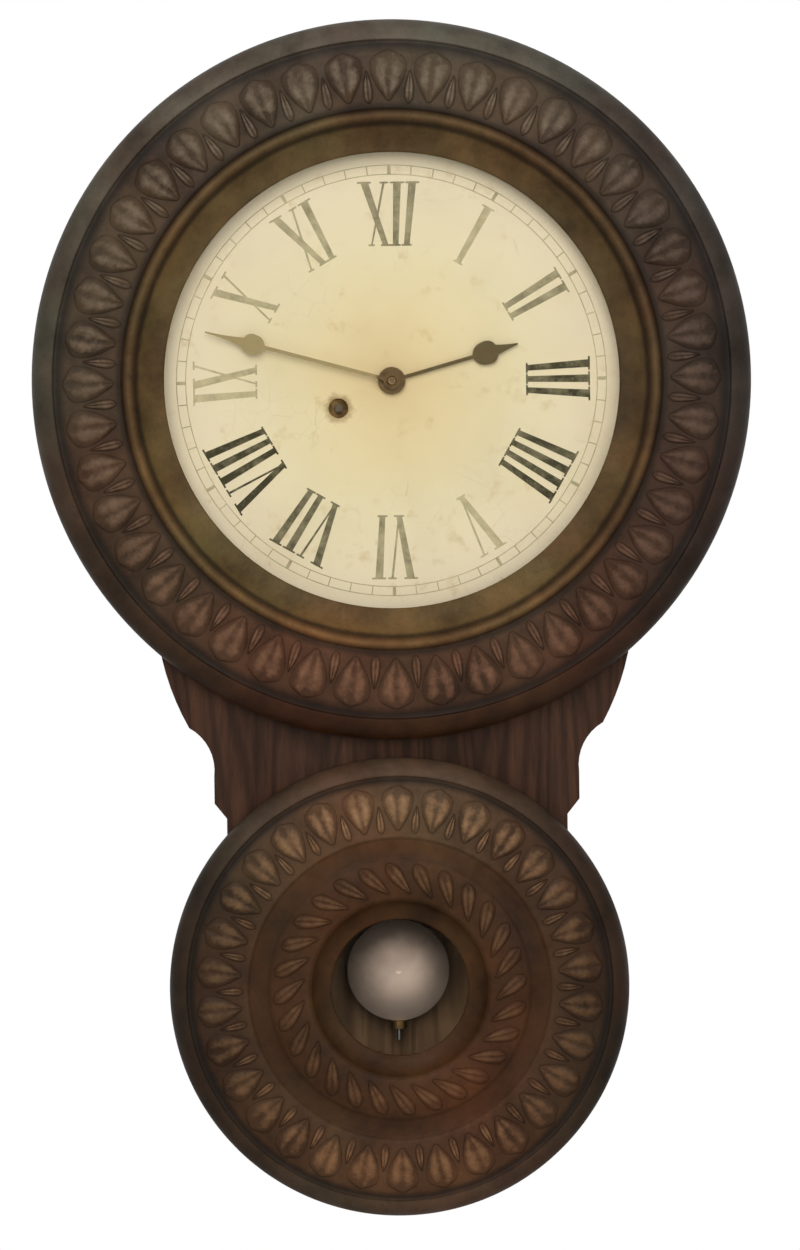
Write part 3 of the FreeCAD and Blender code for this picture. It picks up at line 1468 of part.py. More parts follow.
def make_click():
    """Pawl on the back of the great wheel, its nose just clear of the ratchet."""
    nose = S.ratchet_radius + S.click_air + CLICK_NOSE
    nose_x = nose * math.cos(math.radians(CLICK_BEARING))
    nose_up = nose * math.sin(math.radians(CLICK_BEARING)) - CLICK_PIVOT
    reach = root(nose_x * nose_x + nose_up * nose_up)
    lean = math.degrees(math.atan2(nose_up.value, nose_x.value))
    body = new_body("click")
    sketch = face_sketch(body, ratchet_depth)
    steps = [
        (reach, -CLICK_NOSE),
        (reach, CLICK_NOSE),
        (0, CLICK_BOSS),
        (-CLICK_BOSS, 0, CLICK_BOSS, 1),
        (0, -CLICK_BOSS, CLICK_BOSS, 1),
    ]
    draw_loop(sketch, steps)
    draw_circle(sketch, 0, 0, CLICK_RIVET + S.pivot_play)
    pad(body, sketch, S.wheel_thickness)
    place(body, great_x, 0, dial_z + great_up + CLICK_PIVOT, (Vector(0, 1, 0), -lean))
    spring = new_body("click_spring")
    sketch = face_sketch(spring, ratchet_depth)
    inner = CLICK_PIVOT + CLICK_BOSS + CLICK_SPRING_AIR
    outer = inner + CLICK_SPRING_THICKNESS
    first = math.radians(CLICK_SPRING_FIRST)
    last = math.radians(CLICK_SPRING_LAST)
    steps = [
        (outer * math.cos(first), outer * math.sin(first)),
        (outer * math.cos(last), outer * math.sin(last), outer, 1),
        (outer * math.cos(last), -CLICK_SPRING_FOOT),
        (inner * math.cos(last), -CLICK_SPRING_FOOT),
        (inner * math.cos(last), inner * math.sin(last)),
        (inner * math.cos(first), inner * math.sin(first), inner, -1),
    ]
    draw_loop(sketch, steps)
    pad(spring, sketch, great_depth - ratchet_depth)
    place(spring, great_x, 0, dial_z + great_up)


def make_winding_arbor():
    """Arbor through the great wheel, with a square for the key behind the dial."""
    square_start = plate_front + SQUARE_STEP
    steps = [
        (0, plate_back + PIVOT_END),
        (WINDING_PIVOT, plate_back + PIVOT_END),
        (WINDING_PIVOT, train_back + END_SHAKE),
        (S.winding_collar, train_back + END_SHAKE),
        (S.winding_collar, ratchet_depth),
        (S.winding_radius, ratchet_depth),
        (S.winding_radius, square_start),
        (0, square_start),
    ]
    body = turned("winding_arbor", steps, great_x, dial_z + great_up)
    sketch = face_sketch(body, square_start)
    half = S.winding_radius * SQUARE_SHARE
    draw_box(sketch, -half, -half, half, half)
    pad(body, sketch, dial_front - SQUARE_SET_BACK - square_start)


def ratchet_shape():
    teeth = int(S.ratchet_teeth.value)
    tip = S.ratchet_radius.value
    depth = ratchet_depth.value
    pitch = 360.0 / teeth
    points = []
    for number in range(teeth):
        points.append(polar(tip, number * pitch, depth))
        points.append(polar(tip * RATCHET_ROOT_SHARE, (number + RATCHET_LEAN_SHARE) * pitch, depth))
    face = loop_face(points, [ring_wire(S.winding_radius.value, depth)])
    return face.extrude(Vector(0, -S.wheel_thickness.value, 0))


def mainspring_path():
    """Middle line of the spring as arcs (centre x, centre up, radius, start, end) in degrees, inside out.

    Half turns about two alternate centres wind outwards. The last coil leaves on a straight run to the
    lower left pillar and loops round it.
    """
    pitch = S.spring_pitch.value
    turns = int(S.spring_turns.value)
    pillar_x = (pillar_places()[0][0] - great_x).value
    pillar_up = (pillar_places()[0][1] - great_up).value
    distance = math.hypot(pillar_x, pillar_up)
    bearing = math.degrees(math.atan2(pillar_up, pillar_x))
    loop_radius = S.pillar_radius.value + S.spring_thickness.value / 2 + SPRING_LOOP_AIR
    first_radius = S.winding_collar.value + SPRING_START_AIR
    last_radius = first_radius + pitch * turns
    lean = math.degrees(math.acos((last_radius - loop_radius) / distance))
    leave = bearing - lean
    arcs = []
    radius = first_radius
    for half in range(2 * turns):
        start = leave + 180.0 * half
        shift = pitch / 4 if half % 2 else -pitch / 4
        arcs.append((shift * math.cos(math.radians(leave)), shift * math.sin(math.radians(leave)),
                     radius + pitch / 4, start, start + 180.0))
        radius += pitch / 2
    arcs.append((pillar_x, pillar_up, loop_radius, leave, leave + SPRING_LOOP_TURN))
    return arcs


def mainspring_gap(arcs):
    """Least air between one coil and the rest, measured on points of the middle line."""
    points = []
    run = 0.0
    for centre_x, centre_up, radius, start, stop in arcs:
        for number in range(SPRING_ARC_POINTS):
            angle = start + (stop - start) * number / SPRING_ARC_POINTS
            point = Vector(centre_x, 0, centre_up) + polar(radius, angle)
            if points:
                run += (point - points[-1][0]).Length
            points.append((point, run))
    far_apart = S.winding_collar.value * SPRING_NEAR_SHARE
    gaps = [(one - other).Length for number, (one, here) in enumerate(points)
            for other, there in points[number + 1:] if there - here > far_apart]
    return min(gaps) - S.spring_thickness.value


def mainspring_shape():
    """Flat strip wound along the path, cut as one face and given its width."""
    half = S.spring_thickness.value / 2
    depth = spring_depth.value
    arcs = mainspring_path()
    print("mainspring: least gap to itself", round(mainspring_gap(arcs), 2), "mm")
    sides = []
    for offset in (half, -half):
        edges = []
        end = None
        for centre_x, centre_up, radius, start, stop in arcs:
            middle = Vector(centre_x, 0, centre_up)
            points = [middle + polar(radius + offset, angle, depth)
                      for angle in (start, (start + stop) / 2, stop)]
            if end and (points[0] - end).Length > 1e-6:
                edges.append(Part.makeLine(end, points[0]))
            edges.append(Part.Arc(*points).toShape())
            end = points[2]
        sides.append((edges, edges[0].firstVertex().Point, end))
    caps = [Part.makeLine(sides[0][2], sides[1][2]), Part.makeLine(sides[1][1], sides[0][1])]
    wire = Part.Wire(Part.__sortEdges__(sides[0][0] + sides[1][0] + caps))
    return Part.Face(wire).extrude(Vector(0, -S.spring_width.value, 0))


# Escapement and pendulum


def make_verge():
    """Anchor on its arbor, arched over the escape wheel; the arbor runs out behind for the crutch."""
    arbor = S.arbor_radius
    body = new_body("verge")
    sketch = turning_sketch(body)
    steps = [
        (0, crutch_depth),
        (arbor, crutch_depth),
        (arbor, train_front - END_SHAKE),
        (S.pivot_radius, train_front - END_SHAKE),
        (S.pivot_radius, plate_front - PIVOT_END),
        (0, plate_front - PIVOT_END),
    ]
    draw_loop(sketch, steps)
    revolve(body, sketch)
    drop = S.escape_radius / cosine(S.pallet_half_span)
    inner = S.escape_radius + S.pallet_air
    outer = inner + ANCHOR_WIDTH
    end = 90 - S.pallet_half_span - PALLET_LEAN
    arch_back = escape_wheel_depth - PALLET_MARGIN
    arch_width = ESCAPE_THICKNESS + 2 * PALLET_MARGIN
    arch = face_sketch(body, arch_back)
    steps = [
        (inner * cosine(end), inner * sine(end) - drop),
        (-inner * cosine(end), inner * sine(end) - drop, inner, 1),
        (-outer * cosine(end), outer * sine(end) - drop),
        (outer * cosine(end), outer * sine(end) - drop, outer, -1),
    ]
    draw_loop(arch, steps)
    pad(body, arch, arch_width)
    hub = face_sketch(body, arch_back)
    draw_circle(hub, 0, 0, drop - outer + VERGE_HUB_SINK)
    pad(body, hub, arch_width)
    place(body, 0, 0, dial_z + verge_up)


def make_crutch():
    """Arm behind the back plate with two pins that straddle the pendulum rod."""
    body = new_body("crutch")
    sketch = face_sketch(body, crutch_depth)
    shoulder = math.sqrt(CRUTCH_HUB * CRUTCH_HUB - CRUTCH_HALF * CRUTCH_HALF)
    foot_top = -CRUTCH_LENGTH + CRUTCH_FOOT_HALF
    foot_bottom = -CRUTCH_LENGTH - CRUTCH_FOOT_HALF
    steps = [
        (CRUTCH_HALF, -shoulder),
        (0, CRUTCH_HUB, CRUTCH_HUB, 1),
        (-CRUTCH_HALF, -shoulder, CRUTCH_HUB, 1),
        (-CRUTCH_HALF, foot_top),
        (-CRUTCH_FOOT, foot_top),
        (-CRUTCH_FOOT, foot_bottom),
        (CRUTCH_FOOT, foot_bottom),
        (CRUTCH_FOOT, foot_top),
        (CRUTCH_HALF, foot_top),
    ]
    draw_loop(sketch, steps)
    draw_circle(sketch, 0, 0, S.arbor_radius)
    pad(body, sketch, CRUTCH_THICKNESS)
    pins = face_sketch(body, crutch_depth)
    reach = S.rod_radius + CRUTCH_AIR + CRUTCH_PIN
    for side in (-1, 1):
        draw_circle(pins, side * reach, -CRUTCH_LENGTH, CRUTCH_PIN)
    pad(body, pins, crutch_depth - rod_depth + CRUTCH_PIN_REACH, backwards=True)
    place(body, 0, 0, dial_z + verge_up)


def make_suspension():
    """Cock on the back plate, the chops under its arm and the spring that the pendulum swings on."""
    body = new_body("suspension_cock")
    sketch = side_sketch(body, -COCK_HALF)
    arm_low = verge_up + CHOPS_HEIGHT
    arm_high = arm_low + COCK_ARM
    foot_back = plate_back - COCK_FOOT
    foot_top = S.plate_top - COCK_TOP
    arm_end = rod_depth - COCK_REACH
    steps = [
        (-plate_back, arm_low),
        (-plate_back, foot_top),
        (-foot_back, foot_top),
        (-foot_back, arm_high),
        (-arm_end, arm_high),
        (-arm_end, arm_low),
    ]
    draw_loop(sketch, steps)
    pad(body, sketch, 2 * COCK_HALF)
    place(body, 0, 0, dial_z)
    pivot = dial_z + verge_up
    half = SUSPENSION_WIDTH / 2
    chops = box("suspension_chops", as_size(-CHOPS_HALF), as_size(CHOPS_HALF), rod_depth - half,
                rod_depth + half, pivot, pivot + CHOPS_HEIGHT)
    keep(chops, "suspension_chops")
    strip_half = as_size(SUSPENSION_THICKNESS / 2)
    strip = box("suspension_spring", -strip_half, strip_half, rod_depth - half, rod_depth + half,
                pivot - SUSPENSION_LENGTH, pivot - SUSPENSION_AIR)
    keep(strip, "suspension_spring")


def make_pendulum():
    pivot = dial_z + verge_up
    rod_top = pivot - SUSPENSION_LENGTH
    bob_z = lower_z + S.bob_rise
    bob_foot = bob_z - S.bob_radius
    rod_end = bob_foot - ROD_TAIL
    ferrule = cylinder("pendulum_ferrule", FERRULE_RADIUS, FERRULE_LENGTH, 0, rod_depth,
                       rod_top - FERRULE_LENGTH)
    wire = cylinder("pendulum_wire", S.rod_radius, rod_top - rod_end, 0, rod_depth, rod_end)
    keep(fuse("pendulum_rod", [ferrule, wire]), "pendulum_rod")
    middle = rod_depth
    rise = S.bob_half_thickness - S.bob_edge
    crown = (S.bob_radius * S.bob_radius + rise * rise) / (2 * rise)
    steps = [
        (0, middle - S.bob_half_thickness),
        (S.bob_radius, middle - S.bob_edge, crown, 1),
        (S.bob_radius, middle + S.bob_edge),
        (0, middle + S.bob_half_thickness, crown, 1),
    ]
    body = turned("pendulum_bob", steps, 0, bob_z)
    bore = plan_sketch(body, S.bob_radius + BORE_END)
    draw_circle(bore, 0, -rod_depth, S.rod_radius + S.rod_play)
    pocket(body, bore, 2 * (S.bob_radius + BORE_END))
    nut_top = bob_foot - NUT_AIR
    blank = cylinder("rating_nut_blank", RATING_NUT_RADIUS, RATING_NUT_HEIGHT, 0, rod_depth,
                     nut_top - RATING_NUT_HEIGHT)
    hole = cylinder("rating_nut_hole", S.rod_radius + S.pivot_play, RATING_NUT_HEIGHT, 0, rod_depth,
                    nut_top - RATING_NUT_HEIGHT)
    keep(cut("rating_nut", blank, hole), "rating_nut")


# Motion work and hands


def make_motion_work():
    arbor_end = hand_nut_depth + HAND_NUT_HEIGHT + ARBOR_END
    steps = [
        (0, plate_back + PIVOT_END),
        (S.centre_arbor_radius, plate_back + PIVOT_END),
        (S.centre_arbor_radius, arbor_end),
        (0, arbor_end),
    ]
    turned("minute_arbor", steps, 0, dial_z)
    leaves = toothed_wheel(S.cannon_leaves, S.motion_module, S.motion_bearing + 180 / S.cannon_leaves,
                           cannon_depth, S.wheel_thickness + CANNON_MARGIN, S.centre_arbor_radius)
    pipe = tube(S.cannon_tube_radius, S.centre_arbor_radius, cannon_depth, minute_hand_depth)
    feature_shape("cannon_pinion", leaves.fuse(pipe).removeSplitter(), 0, dial_z)
    gap = S.motion_bearing + 180
    bore = POST_RADIUS + S.pivot_play
    wheel = toothed_wheel(S.minute_wheel_teeth, S.motion_module, gap, cannon_depth, S.wheel_thickness, bore)
    pinion = toothed_wheel(S.minute_pinion_leaves, hour_module, gap + 180 / S.minute_pinion_leaves,
                           minute_pinion_depth, MINUTE_PINION_LENGTH, bore)
    feature_shape("minute_wheel", wheel.fuse(pinion).removeSplitter(), motion_x, dial_z + motion_up)
    pipe_bore = S.cannon_tube_radius + S.pivot_play
    wheel = toothed_wheel(S.hour_wheel_teeth, hour_module, S.motion_bearing, hour_wheel_depth,
                          S.wheel_thickness, pipe_bore)
    pipe_end = hour_hand_depth + S.hand_thickness + PIPE_END
    pipe = tube(S.hour_pipe_radius, pipe_bore, hour_wheel_depth, pipe_end)
    feature_shape("hour_wheel", wheel.fuse(pipe).removeSplitter(), 0, dial_z)


def make_hand(label, length, turn, depth, boss, bore, lobe):
    """Hand drawn upright: a boss, a slim stem and a spade before the tip; then turned to its hour."""
    body = new_body(label)
    hub = face_sketch(body, depth)
    draw_circle(hub, 0, 0, boss)
    draw_circle(hub, 0, 0, bore)
    pad(body, hub, S.hand_thickness)
    spade = length * SPADE_SHARE
    neck = spade - lobe * SPADE_NECK_SHARE
    point = spade + lobe * SPADE_NECK_SHARE
    point_half = lobe * SPADE_POINT_SHARE
    heel_round = lobe * SPADE_HEEL_SHARE
    side_round = lobe * SPADE_SIDE_SHARE
    taper_round = length * SPADE_TAPER_SHARE
    sketch = face_sketch(body, depth)
    start = (boss + bore) / 2
    steps = [
        (HAND_STEM, start),
        (HAND_STEM, neck),
        (lobe, spade, heel_round, 1),
        (point_half, point, side_round, 1),
        (HAND_TIP, length, taper_round, -1),
        (-HAND_TIP, length),
        (-point_half, point, taper_round, -1),
        (-lobe, spade, side_round, 1),
        (-HAND_STEM, neck, heel_round, 1),
        (-HAND_STEM, start),
    ]
    draw_loop(sketch, steps)
    pad(body, sketch, S.hand_thickness)
    place(body, 0, 0, dial_z, (Vector(0, 1, 0), turn))


def make_hands():
    make_hand("hour_hand", S.hour_hand_length, S.hour_hand_turn, hour_hand_depth, S.hour_hand_boss,
              S.hour_pipe_radius, S.hour_hand_lobe)
    make_hand("minute_hand", S.minute_hand_length, S.minute_hand_turn, minute_hand_depth,
              S.minute_hand_boss, S.centre_arbor_radius, S.minute_hand_lobe)
    steps = [
        (S.centre_arbor_radius, hand_nut_depth),
        (HAND_NUT_RADIUS, hand_nut_depth),
        (HAND_NUT_RADIUS, hand_nut_depth + HAND_NUT_HEIGHT * HAND_NUT_STRAIGHT_SHARE),
        (HAND_NUT_RADIUS - HAND_NUT_CHAMFER, hand_nut_depth + HAND_NUT_HEIGHT),
        (S.centre_arbor_radius, hand_nut_depth + HAND_NUT_HEIGHT),
    ]
    turned("hand_nut", steps, 0, dial_z)


make_case_back()
make_hoop("upper_hoop", upper_case_radius, -1, dial_z)
make_hoop("lower_hoop", lower_case_radius, 1, lower_z)
make_waist("waist_left", -1)
make_waist("waist_right", 1)
make_case_front()
make_hanger()
make_dial()
make_upper_door()
make_lower_door()
make_hinges("upper", upper_case_radius, dial_z, S.upper_hinge_length, S.upper_hinge_spread)
make_hinges("lower", lower_case_radius, lower_z, S.lower_hinge_length, S.lower_hinge_spread)
make_hook("upper", upper_case_radius, dial_z)
make_hook("lower", lower_case_radius, lower_z)
hook_screws = [
    hook_screw("upper", upper_case_radius, dial_z),
    hook_screw("lower", lower_case_radius, lower_z),
]
group("hook_screws", hook_screws)
make_keeper("upper", upper_case_radius, S.upper_door_radius, dial_z)
make_keeper("lower", lower_case_radius, S.lower_door_radius, lower_z)

make_plates()
make_pillars()
make_movement_blocks()
make_train()
make_great_wheel()
make_verge()
make_crutch()
make_suspension()
make_pendulum()
make_motion_work()
make_hands()

# Check everything, then write each sub-part to its own file
doc.recompute()
failed = [thing.Name for thing in doc.Objects if "Invalid" in thing.State or "Error" in thing.State]
if failed:
    raise RuntimeError("failed objects: " + ", ".join(failed))
for thing in SUB_PARTS:
    if thing.Shape.isNull() or not thing.Shape.isValid() or not thing.Shape.Solids:
        raise RuntimeError("bad shape: " + thing.Label)
os.makedirs("parts", exist_ok=True)
for thing in SUB_PARTS:
    thing.Shape.exportStep(f"parts/{thing.Label}.step")
print(len(SUB_PARTS), "sub-parts written")
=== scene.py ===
"""Looks of the figure-eight wall clock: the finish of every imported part, and the pieces modelled over them.

Metres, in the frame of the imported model: +X to the viewer's right, +Y into the wall, +Z up. The origin is
the hole that the clock hangs by. A depth is counted from the wall towards the room, so y = -depth.
"""
import json
import math

import bpy
from mathutils import Matrix, Vector


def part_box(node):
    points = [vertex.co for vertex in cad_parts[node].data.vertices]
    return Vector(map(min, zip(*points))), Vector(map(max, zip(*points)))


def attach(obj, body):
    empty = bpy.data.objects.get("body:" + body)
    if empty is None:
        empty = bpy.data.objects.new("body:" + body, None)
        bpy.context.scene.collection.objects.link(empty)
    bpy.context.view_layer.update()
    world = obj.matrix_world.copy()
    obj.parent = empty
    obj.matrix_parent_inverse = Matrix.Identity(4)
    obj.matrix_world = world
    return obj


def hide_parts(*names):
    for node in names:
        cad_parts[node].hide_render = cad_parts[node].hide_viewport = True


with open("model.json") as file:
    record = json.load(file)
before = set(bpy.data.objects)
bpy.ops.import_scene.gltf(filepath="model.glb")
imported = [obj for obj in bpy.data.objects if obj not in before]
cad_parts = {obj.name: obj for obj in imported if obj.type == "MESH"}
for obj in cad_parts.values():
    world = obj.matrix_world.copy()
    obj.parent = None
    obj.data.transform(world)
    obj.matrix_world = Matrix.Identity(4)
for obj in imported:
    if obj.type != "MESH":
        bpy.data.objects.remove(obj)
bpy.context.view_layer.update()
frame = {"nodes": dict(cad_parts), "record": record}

NODES = frame["nodes"]
MM = 0.001
FULL_TURN = 2 * math.pi

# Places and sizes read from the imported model
DIAL_LOW, DIAL_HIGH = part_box("dial")
DIAL_Z = (DIAL_LOW.z + DIAL_HIGH.z) / 2
DIAL_FRONT = -DIAL_LOW.y
LOWER_LOW, LOWER_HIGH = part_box("lower_door_ring")
LOWER_Z = (LOWER_LOW.z + LOWER_HIGH.z) / 2
LOWER_RIM = (LOWER_HIGH.x - LOWER_LOW.x) / 2
UPPER_LOW, UPPER_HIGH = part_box("upper_door_ring")
UPPER_RIM = (UPPER_HIGH.x - UPPER_LOW.x) / 2
BOB_LOW, BOB_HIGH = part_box("pendulum_bob")
BOB_Z = (BOB_LOW.z + BOB_HIGH.z) / 2
WINDING_LOW, WINDING_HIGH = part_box("winding_arbor")
WINDING_X = (WINDING_LOW.x + WINDING_HIGH.x) / 2
WINDING_Z = (WINDING_LOW.z + WINDING_HIGH.z) / 2
BACK_PLATE_FRONT = -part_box("back_plate")[0].y


# Working in edit mode

DOUBLED = 0.005 * MM
SMOOTH_ANGLE = 32
SOFT_SEGMENTS = 2


def start_clean():
    """Leave edit mode and select nothing, so that the next operator acts on the new piece alone."""
    if bpy.context.object and bpy.context.object.mode != "OBJECT":
        bpy.ops.object.mode_set(mode="OBJECT")
    bpy.ops.object.select_all(action="DESELECT")


def take(piece):
    """Make one piece the only selected and active object."""
    start_clean()
    piece.select_set(True)
    bpy.context.view_layer.objects.active = piece


def edit(piece, mode="VERT"):
    take(piece)
    bpy.ops.object.mode_set(mode="EDIT")
    bpy.ops.mesh.select_mode(type=mode)


def leave():
    bpy.ops.object.mode_set(mode="OBJECT")


def pick_all():
    bpy.ops.mesh.select_all(action="SELECT")


def pick(piece, test, kind="vertices"):
    """Select the vertices, or the polygons by their middle, that pass the test, and no others."""
    bpy.ops.mesh.select_all(action="DESELECT")
    leave()
    for item in getattr(piece.data, kind):
        item.select = test(item.co if kind == "vertices" else item.center)
    bpy.ops.object.mode_set(mode="EDIT")


def extrude(shift):
    bpy.ops.mesh.extrude_region_move(TRANSFORM_OT_translate={"value": shift})


def settle(piece):
    """Put the piece's place into its mesh, so that its object sits at the origin."""
    take(piece)
    bpy.ops.object.transform_apply(location=True, rotation=True, scale=True)


def close_mesh(piece):
    """Merge doubled points and turn the faces outwards."""
    edit(piece)
    pick_all()
    bpy.ops.mesh.remove_doubles(threshold=DOUBLED)
    bpy.ops.mesh.normals_make_consistent(inside=False)
    leave()


def smooth(piece, degrees=SMOOTH_ANGLE):
    take(piece)
    bpy.ops.object.shade_smooth_by_angle(angle=math.radians(degrees))


def apply_modifier(piece, kind, **settings):
    take(piece)
    modifier = piece.modifiers.new(kind.title(), kind)
    for name, value in settings.items():
        setattr(modifier, name, value)
    bpy.ops.object.modifier_apply(modifier=modifier.name)


def joined(pieces, name):
    start_clean()
    for piece in pieces:
        piece.select_set(True)
    bpy.context.view_layer.objects.active = pieces[0]
    bpy.ops.object.join()
    made = bpy.context.object
    made.name = name
    made.data.name = name
    return made


def copy_of(piece, matrix):
    """Copy with its own mesh, moved by the matrix."""
    take(piece)
    bpy.ops.object.duplicate(linked=False)
    copy = bpy.context.object
    copy.matrix_world = matrix
    return copy


def discard(piece):
    mesh = piece.data
    bpy.data.objects.remove(piece)
    bpy.data.meshes.remove(mesh)


def keep_on_points(piece, name, values):
    """Note one value for each point of a piece, for its finish to read."""
    kept = piece.data.attributes.new(name, "FLOAT", "POINT")
    kept.data.foreach_set("value", values)


def carried(piece, body, slot, finish, *stands_for):
    """Give a finished piece its material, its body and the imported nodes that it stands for."""
    piece.data.materials.clear()
    piece.data.materials.append(finish)
    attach(piece, body)
    if stands_for:
        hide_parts(*stands_for)


# Turned pieces

NEAR = 0.001 * MM
ARC_STEP = 1.6 * MM
ARC_FEWEST = 3
RING_STEPS = 224


def arc_points(start, end, radius, bend):
    """Points of an arc of under a half turn, without its start; bend is +1 where it curves to the left."""
    chord = end - start
    side = Vector((-chord.y, chord.x)).normalized() * bend
    centre = (start + end) / 2 + side * math.sqrt(radius * radius - chord.length_squared / 4)
    first = math.atan2(start.y - centre.y, start.x - centre.x)
    sweep = 2 * math.asin(chord.length / 2 / radius) * bend
    count = max(ARC_FEWEST, math.ceil(abs(sweep) * radius / ARC_STEP))
    angles = [first + sweep * (number + 1) / count for number in range(count)]
    return [centre + radius * Vector((math.cos(angle), math.sin(angle))) for angle in angles]


def section_points(steps):
    """Corners of a half section; a step is (radius, depth), or (radius, depth, round, bend) after an arc."""
    points = []
    for number, (radius, depth, *arc) in enumerate(steps):
        corner = Vector((radius, depth))
        if arc:
            points += arc_points(Vector(steps[number - 1][:2]), corner, *arc)
        else:
            points.append(corner)
    return points


def turned(name, steps, z, soften):
    """Spin a closed half section with softened corners about the depth axis at a height."""
    points = section_points(steps)
    first, last = [Vector((point.x, -point.y, z)) for point in (points[0], points[-1])]
    start_clean()
    bpy.ops.mesh.primitive_plane_add(size=MM, location=first)
    piece = bpy.context.object
    settle(piece)
    edit(piece)
    pick_all()
    bpy.ops.mesh.merge(type="CENTER")
    for here, there in zip(points, points[1:]):
        extrude((there.x - here.x, here.y - there.y, 0))
    pick(piece, lambda spot: min((spot - first).length, (spot - last).length) < NEAR)
    bpy.ops.mesh.edge_face_add()
    pick_all()
    bpy.ops.mesh.bevel(affect="VERTICES", offset=soften, segments=SOFT_SEGMENTS, clamp_overlap=True)
    pick_all()
    bpy.ops.mesh.spin(steps=RING_STEPS, angle=FULL_TURN, center=(0, 0, z), axis=(0, 1, 0))
    leave()
    piece.name = name
    piece.data.name = name
    close_mesh(piece)
    smooth(piece)
    return piece


# Node trees

WHITE = (1, 1, 1, 1)
MIDDLE = 0.5
SRGB_KNEE = 0.04045
SRGB_SLOPE = 12.92
SRGB_OFFSET = 0.055
SRGB_POWER = 2.4
MIX_FIRST_COLOUR = 6
MIX_SECOND_COLOUR = 7
MIX_COLOUR_RESULT = 2
SURFACE_SOCKETS = {
    "colour": "Base Color", "roughness": "Roughness", "normal": "Normal", "alpha": "Alpha",
    "glow": "Emission Strength",
}


def linear(channel):
    """One channel as it looks, 0 to 255, as the linear value that a socket takes."""
    share = channel / 255
    if share <= SRGB_KNEE:
        return share / SRGB_SLOPE
    return ((share + SRGB_OFFSET) / (1 + SRGB_OFFSET)) ** SRGB_POWER


def srgb(red, green, blue):
    """Colour written as it looks, 0 to 255."""
    return (linear(red), linear(green), linear(blue), 1.0)


def darker(colour, share):
    return tuple(channel * share for channel in colour[:3]) + (1,)


def node(tree, kind, inputs=None, **settings):
    """Add a node, set its properties, and set or wire its inputs."""
    made = tree.nodes.new("ShaderNode" + kind)
    for name, value in settings.items():
        setattr(made, name, value)
    for socket, value in (inputs or {}).items():
        if isinstance(value, bpy.types.NodeSocket):
            tree.links.new(value, made.inputs[socket])
        else:
            made.inputs[socket].default_value = value
    return made


def calc(tree, operation, first, second=0.0, third=0.0):
    inputs = dict(enumerate((first, second, third)))
    return node(tree, "Math", inputs, operation=operation).outputs[0]


def centred(tree, value):
    """Noise, which lies about its middle, made to lie about zero."""
    return calc(tree, "SUBTRACT", value, MIDDLE)


def mixed(tree, factor, first, second, blend_type="MIX"):
    """Blend two colours."""
    inputs = {"Factor": factor, MIX_FIRST_COLOUR: first, MIX_SECOND_COLOUR: second}
    made = node(tree, "Mix", inputs, data_type="RGBA", blend_type=blend_type)
    return made.outputs[MIX_COLOUR_RESULT]


def tinted(tree, colour, tint):
    return mixed(tree, 1.0, colour, tint, "MULTIPLY")


def spread(tree, value, low, high, to_low=0.0, to_high=1.0):
    """Value carried from one range to another, held at its ends; a range below is written in this order."""
    inputs = dict(enumerate((value, low, high, to_low, to_high)))
    return node(tree, "MapRange", inputs, clamp=True).outputs[0]


def ramp(tree, value, stops):
    """Colours along a value from 0 to 1."""
    made = node(tree, "ValToRGB", {"Fac": value})
    elements = made.color_ramp.elements
    while len(elements) < len(stops):
        elements.new(MIDDLE)
    for element, (position, colour) in zip(elements, stops):
        element.position = position
        element.color = colour
    return made.outputs["Color"]


def noise(tree, vector, scale, detail=4.0, roughness=0.55, distortion=0.0):
    """Noise along a vector; a noise below is written in this order, from its scale on."""
    inputs = {
        "Vector": vector, "Scale": scale, "Detail": detail, "Roughness": roughness, "Distortion": distortion,
    }
    return node(tree, "TexNoise", inputs).outputs["Fac"]


def cell_edges(tree, vector, scale):
    """Distance from the edges of a net of cells."""
    inputs = {"Vector": vector, "Scale": scale}
    return node(tree, "TexVoronoi", inputs, feature="DISTANCE_TO_EDGE").outputs["Distance"]


def placed(tree, shift=(0, 0, 0), scale=(1, 1, 1)):
    """Object coordinates moved and stretched."""
    source = node(tree, "TexCoord").outputs["Object"]
    return node(tree, "Mapping", {"Vector": source, "Location": shift, "Scale": scale}).outputs["Vector"]


def length_of(tree, vector):
    return node(tree, "VectorMath", {0: vector}, operation="LENGTH").outputs["Value"]


def axis_parts(tree, z):
    """Sockets X, Y and Z of a place counted from the depth axis at a height."""
    return node(tree, "SeparateXYZ", {"Vector": placed(tree, shift=(0, 0, -z))}).outputs


def radius_of(tree, parts):
    """Distance from the depth axis."""
    squares = [calc(tree, "MULTIPLY", parts[axis], parts[axis]) for axis in ("X", "Z")]
    return calc(tree, "SQRT", calc(tree, "ADD", *squares))


def bumped(tree, height, distance, strength, under=None):
    """Bump over an earlier one; a bump below is its distance and its strength."""
    inputs = {"Height": height, "Distance": distance, "Strength": strength}
    if under is not None:
        inputs["Normal"] = under
    return node(tree, "Bump", inputs).outputs["Normal"]


def new_finish(name, inputs):
    """Material with one surface shader; inputs are set here, and wired ones come from its own tree."""
    material = bpy.data.materials.new(name)
    material.use_nodes = True
    tree = material.node_tree
    tree.nodes.clear()
    surface = node(tree, "BsdfPrincipled", inputs)
    node(tree, "OutputMaterial", {"Surface": surface.outputs["BSDF"]})
    return material, tree, surface


def dress(tree, surface, **sockets):
    """Wire sockets of the surface shader: colour, roughness, normal and the like."""
    for name, socket in sockets.items():
        tree.links.new(socket, surface.inputs[SURFACE_SOCKETS[name]])


# Painted composition of the doors

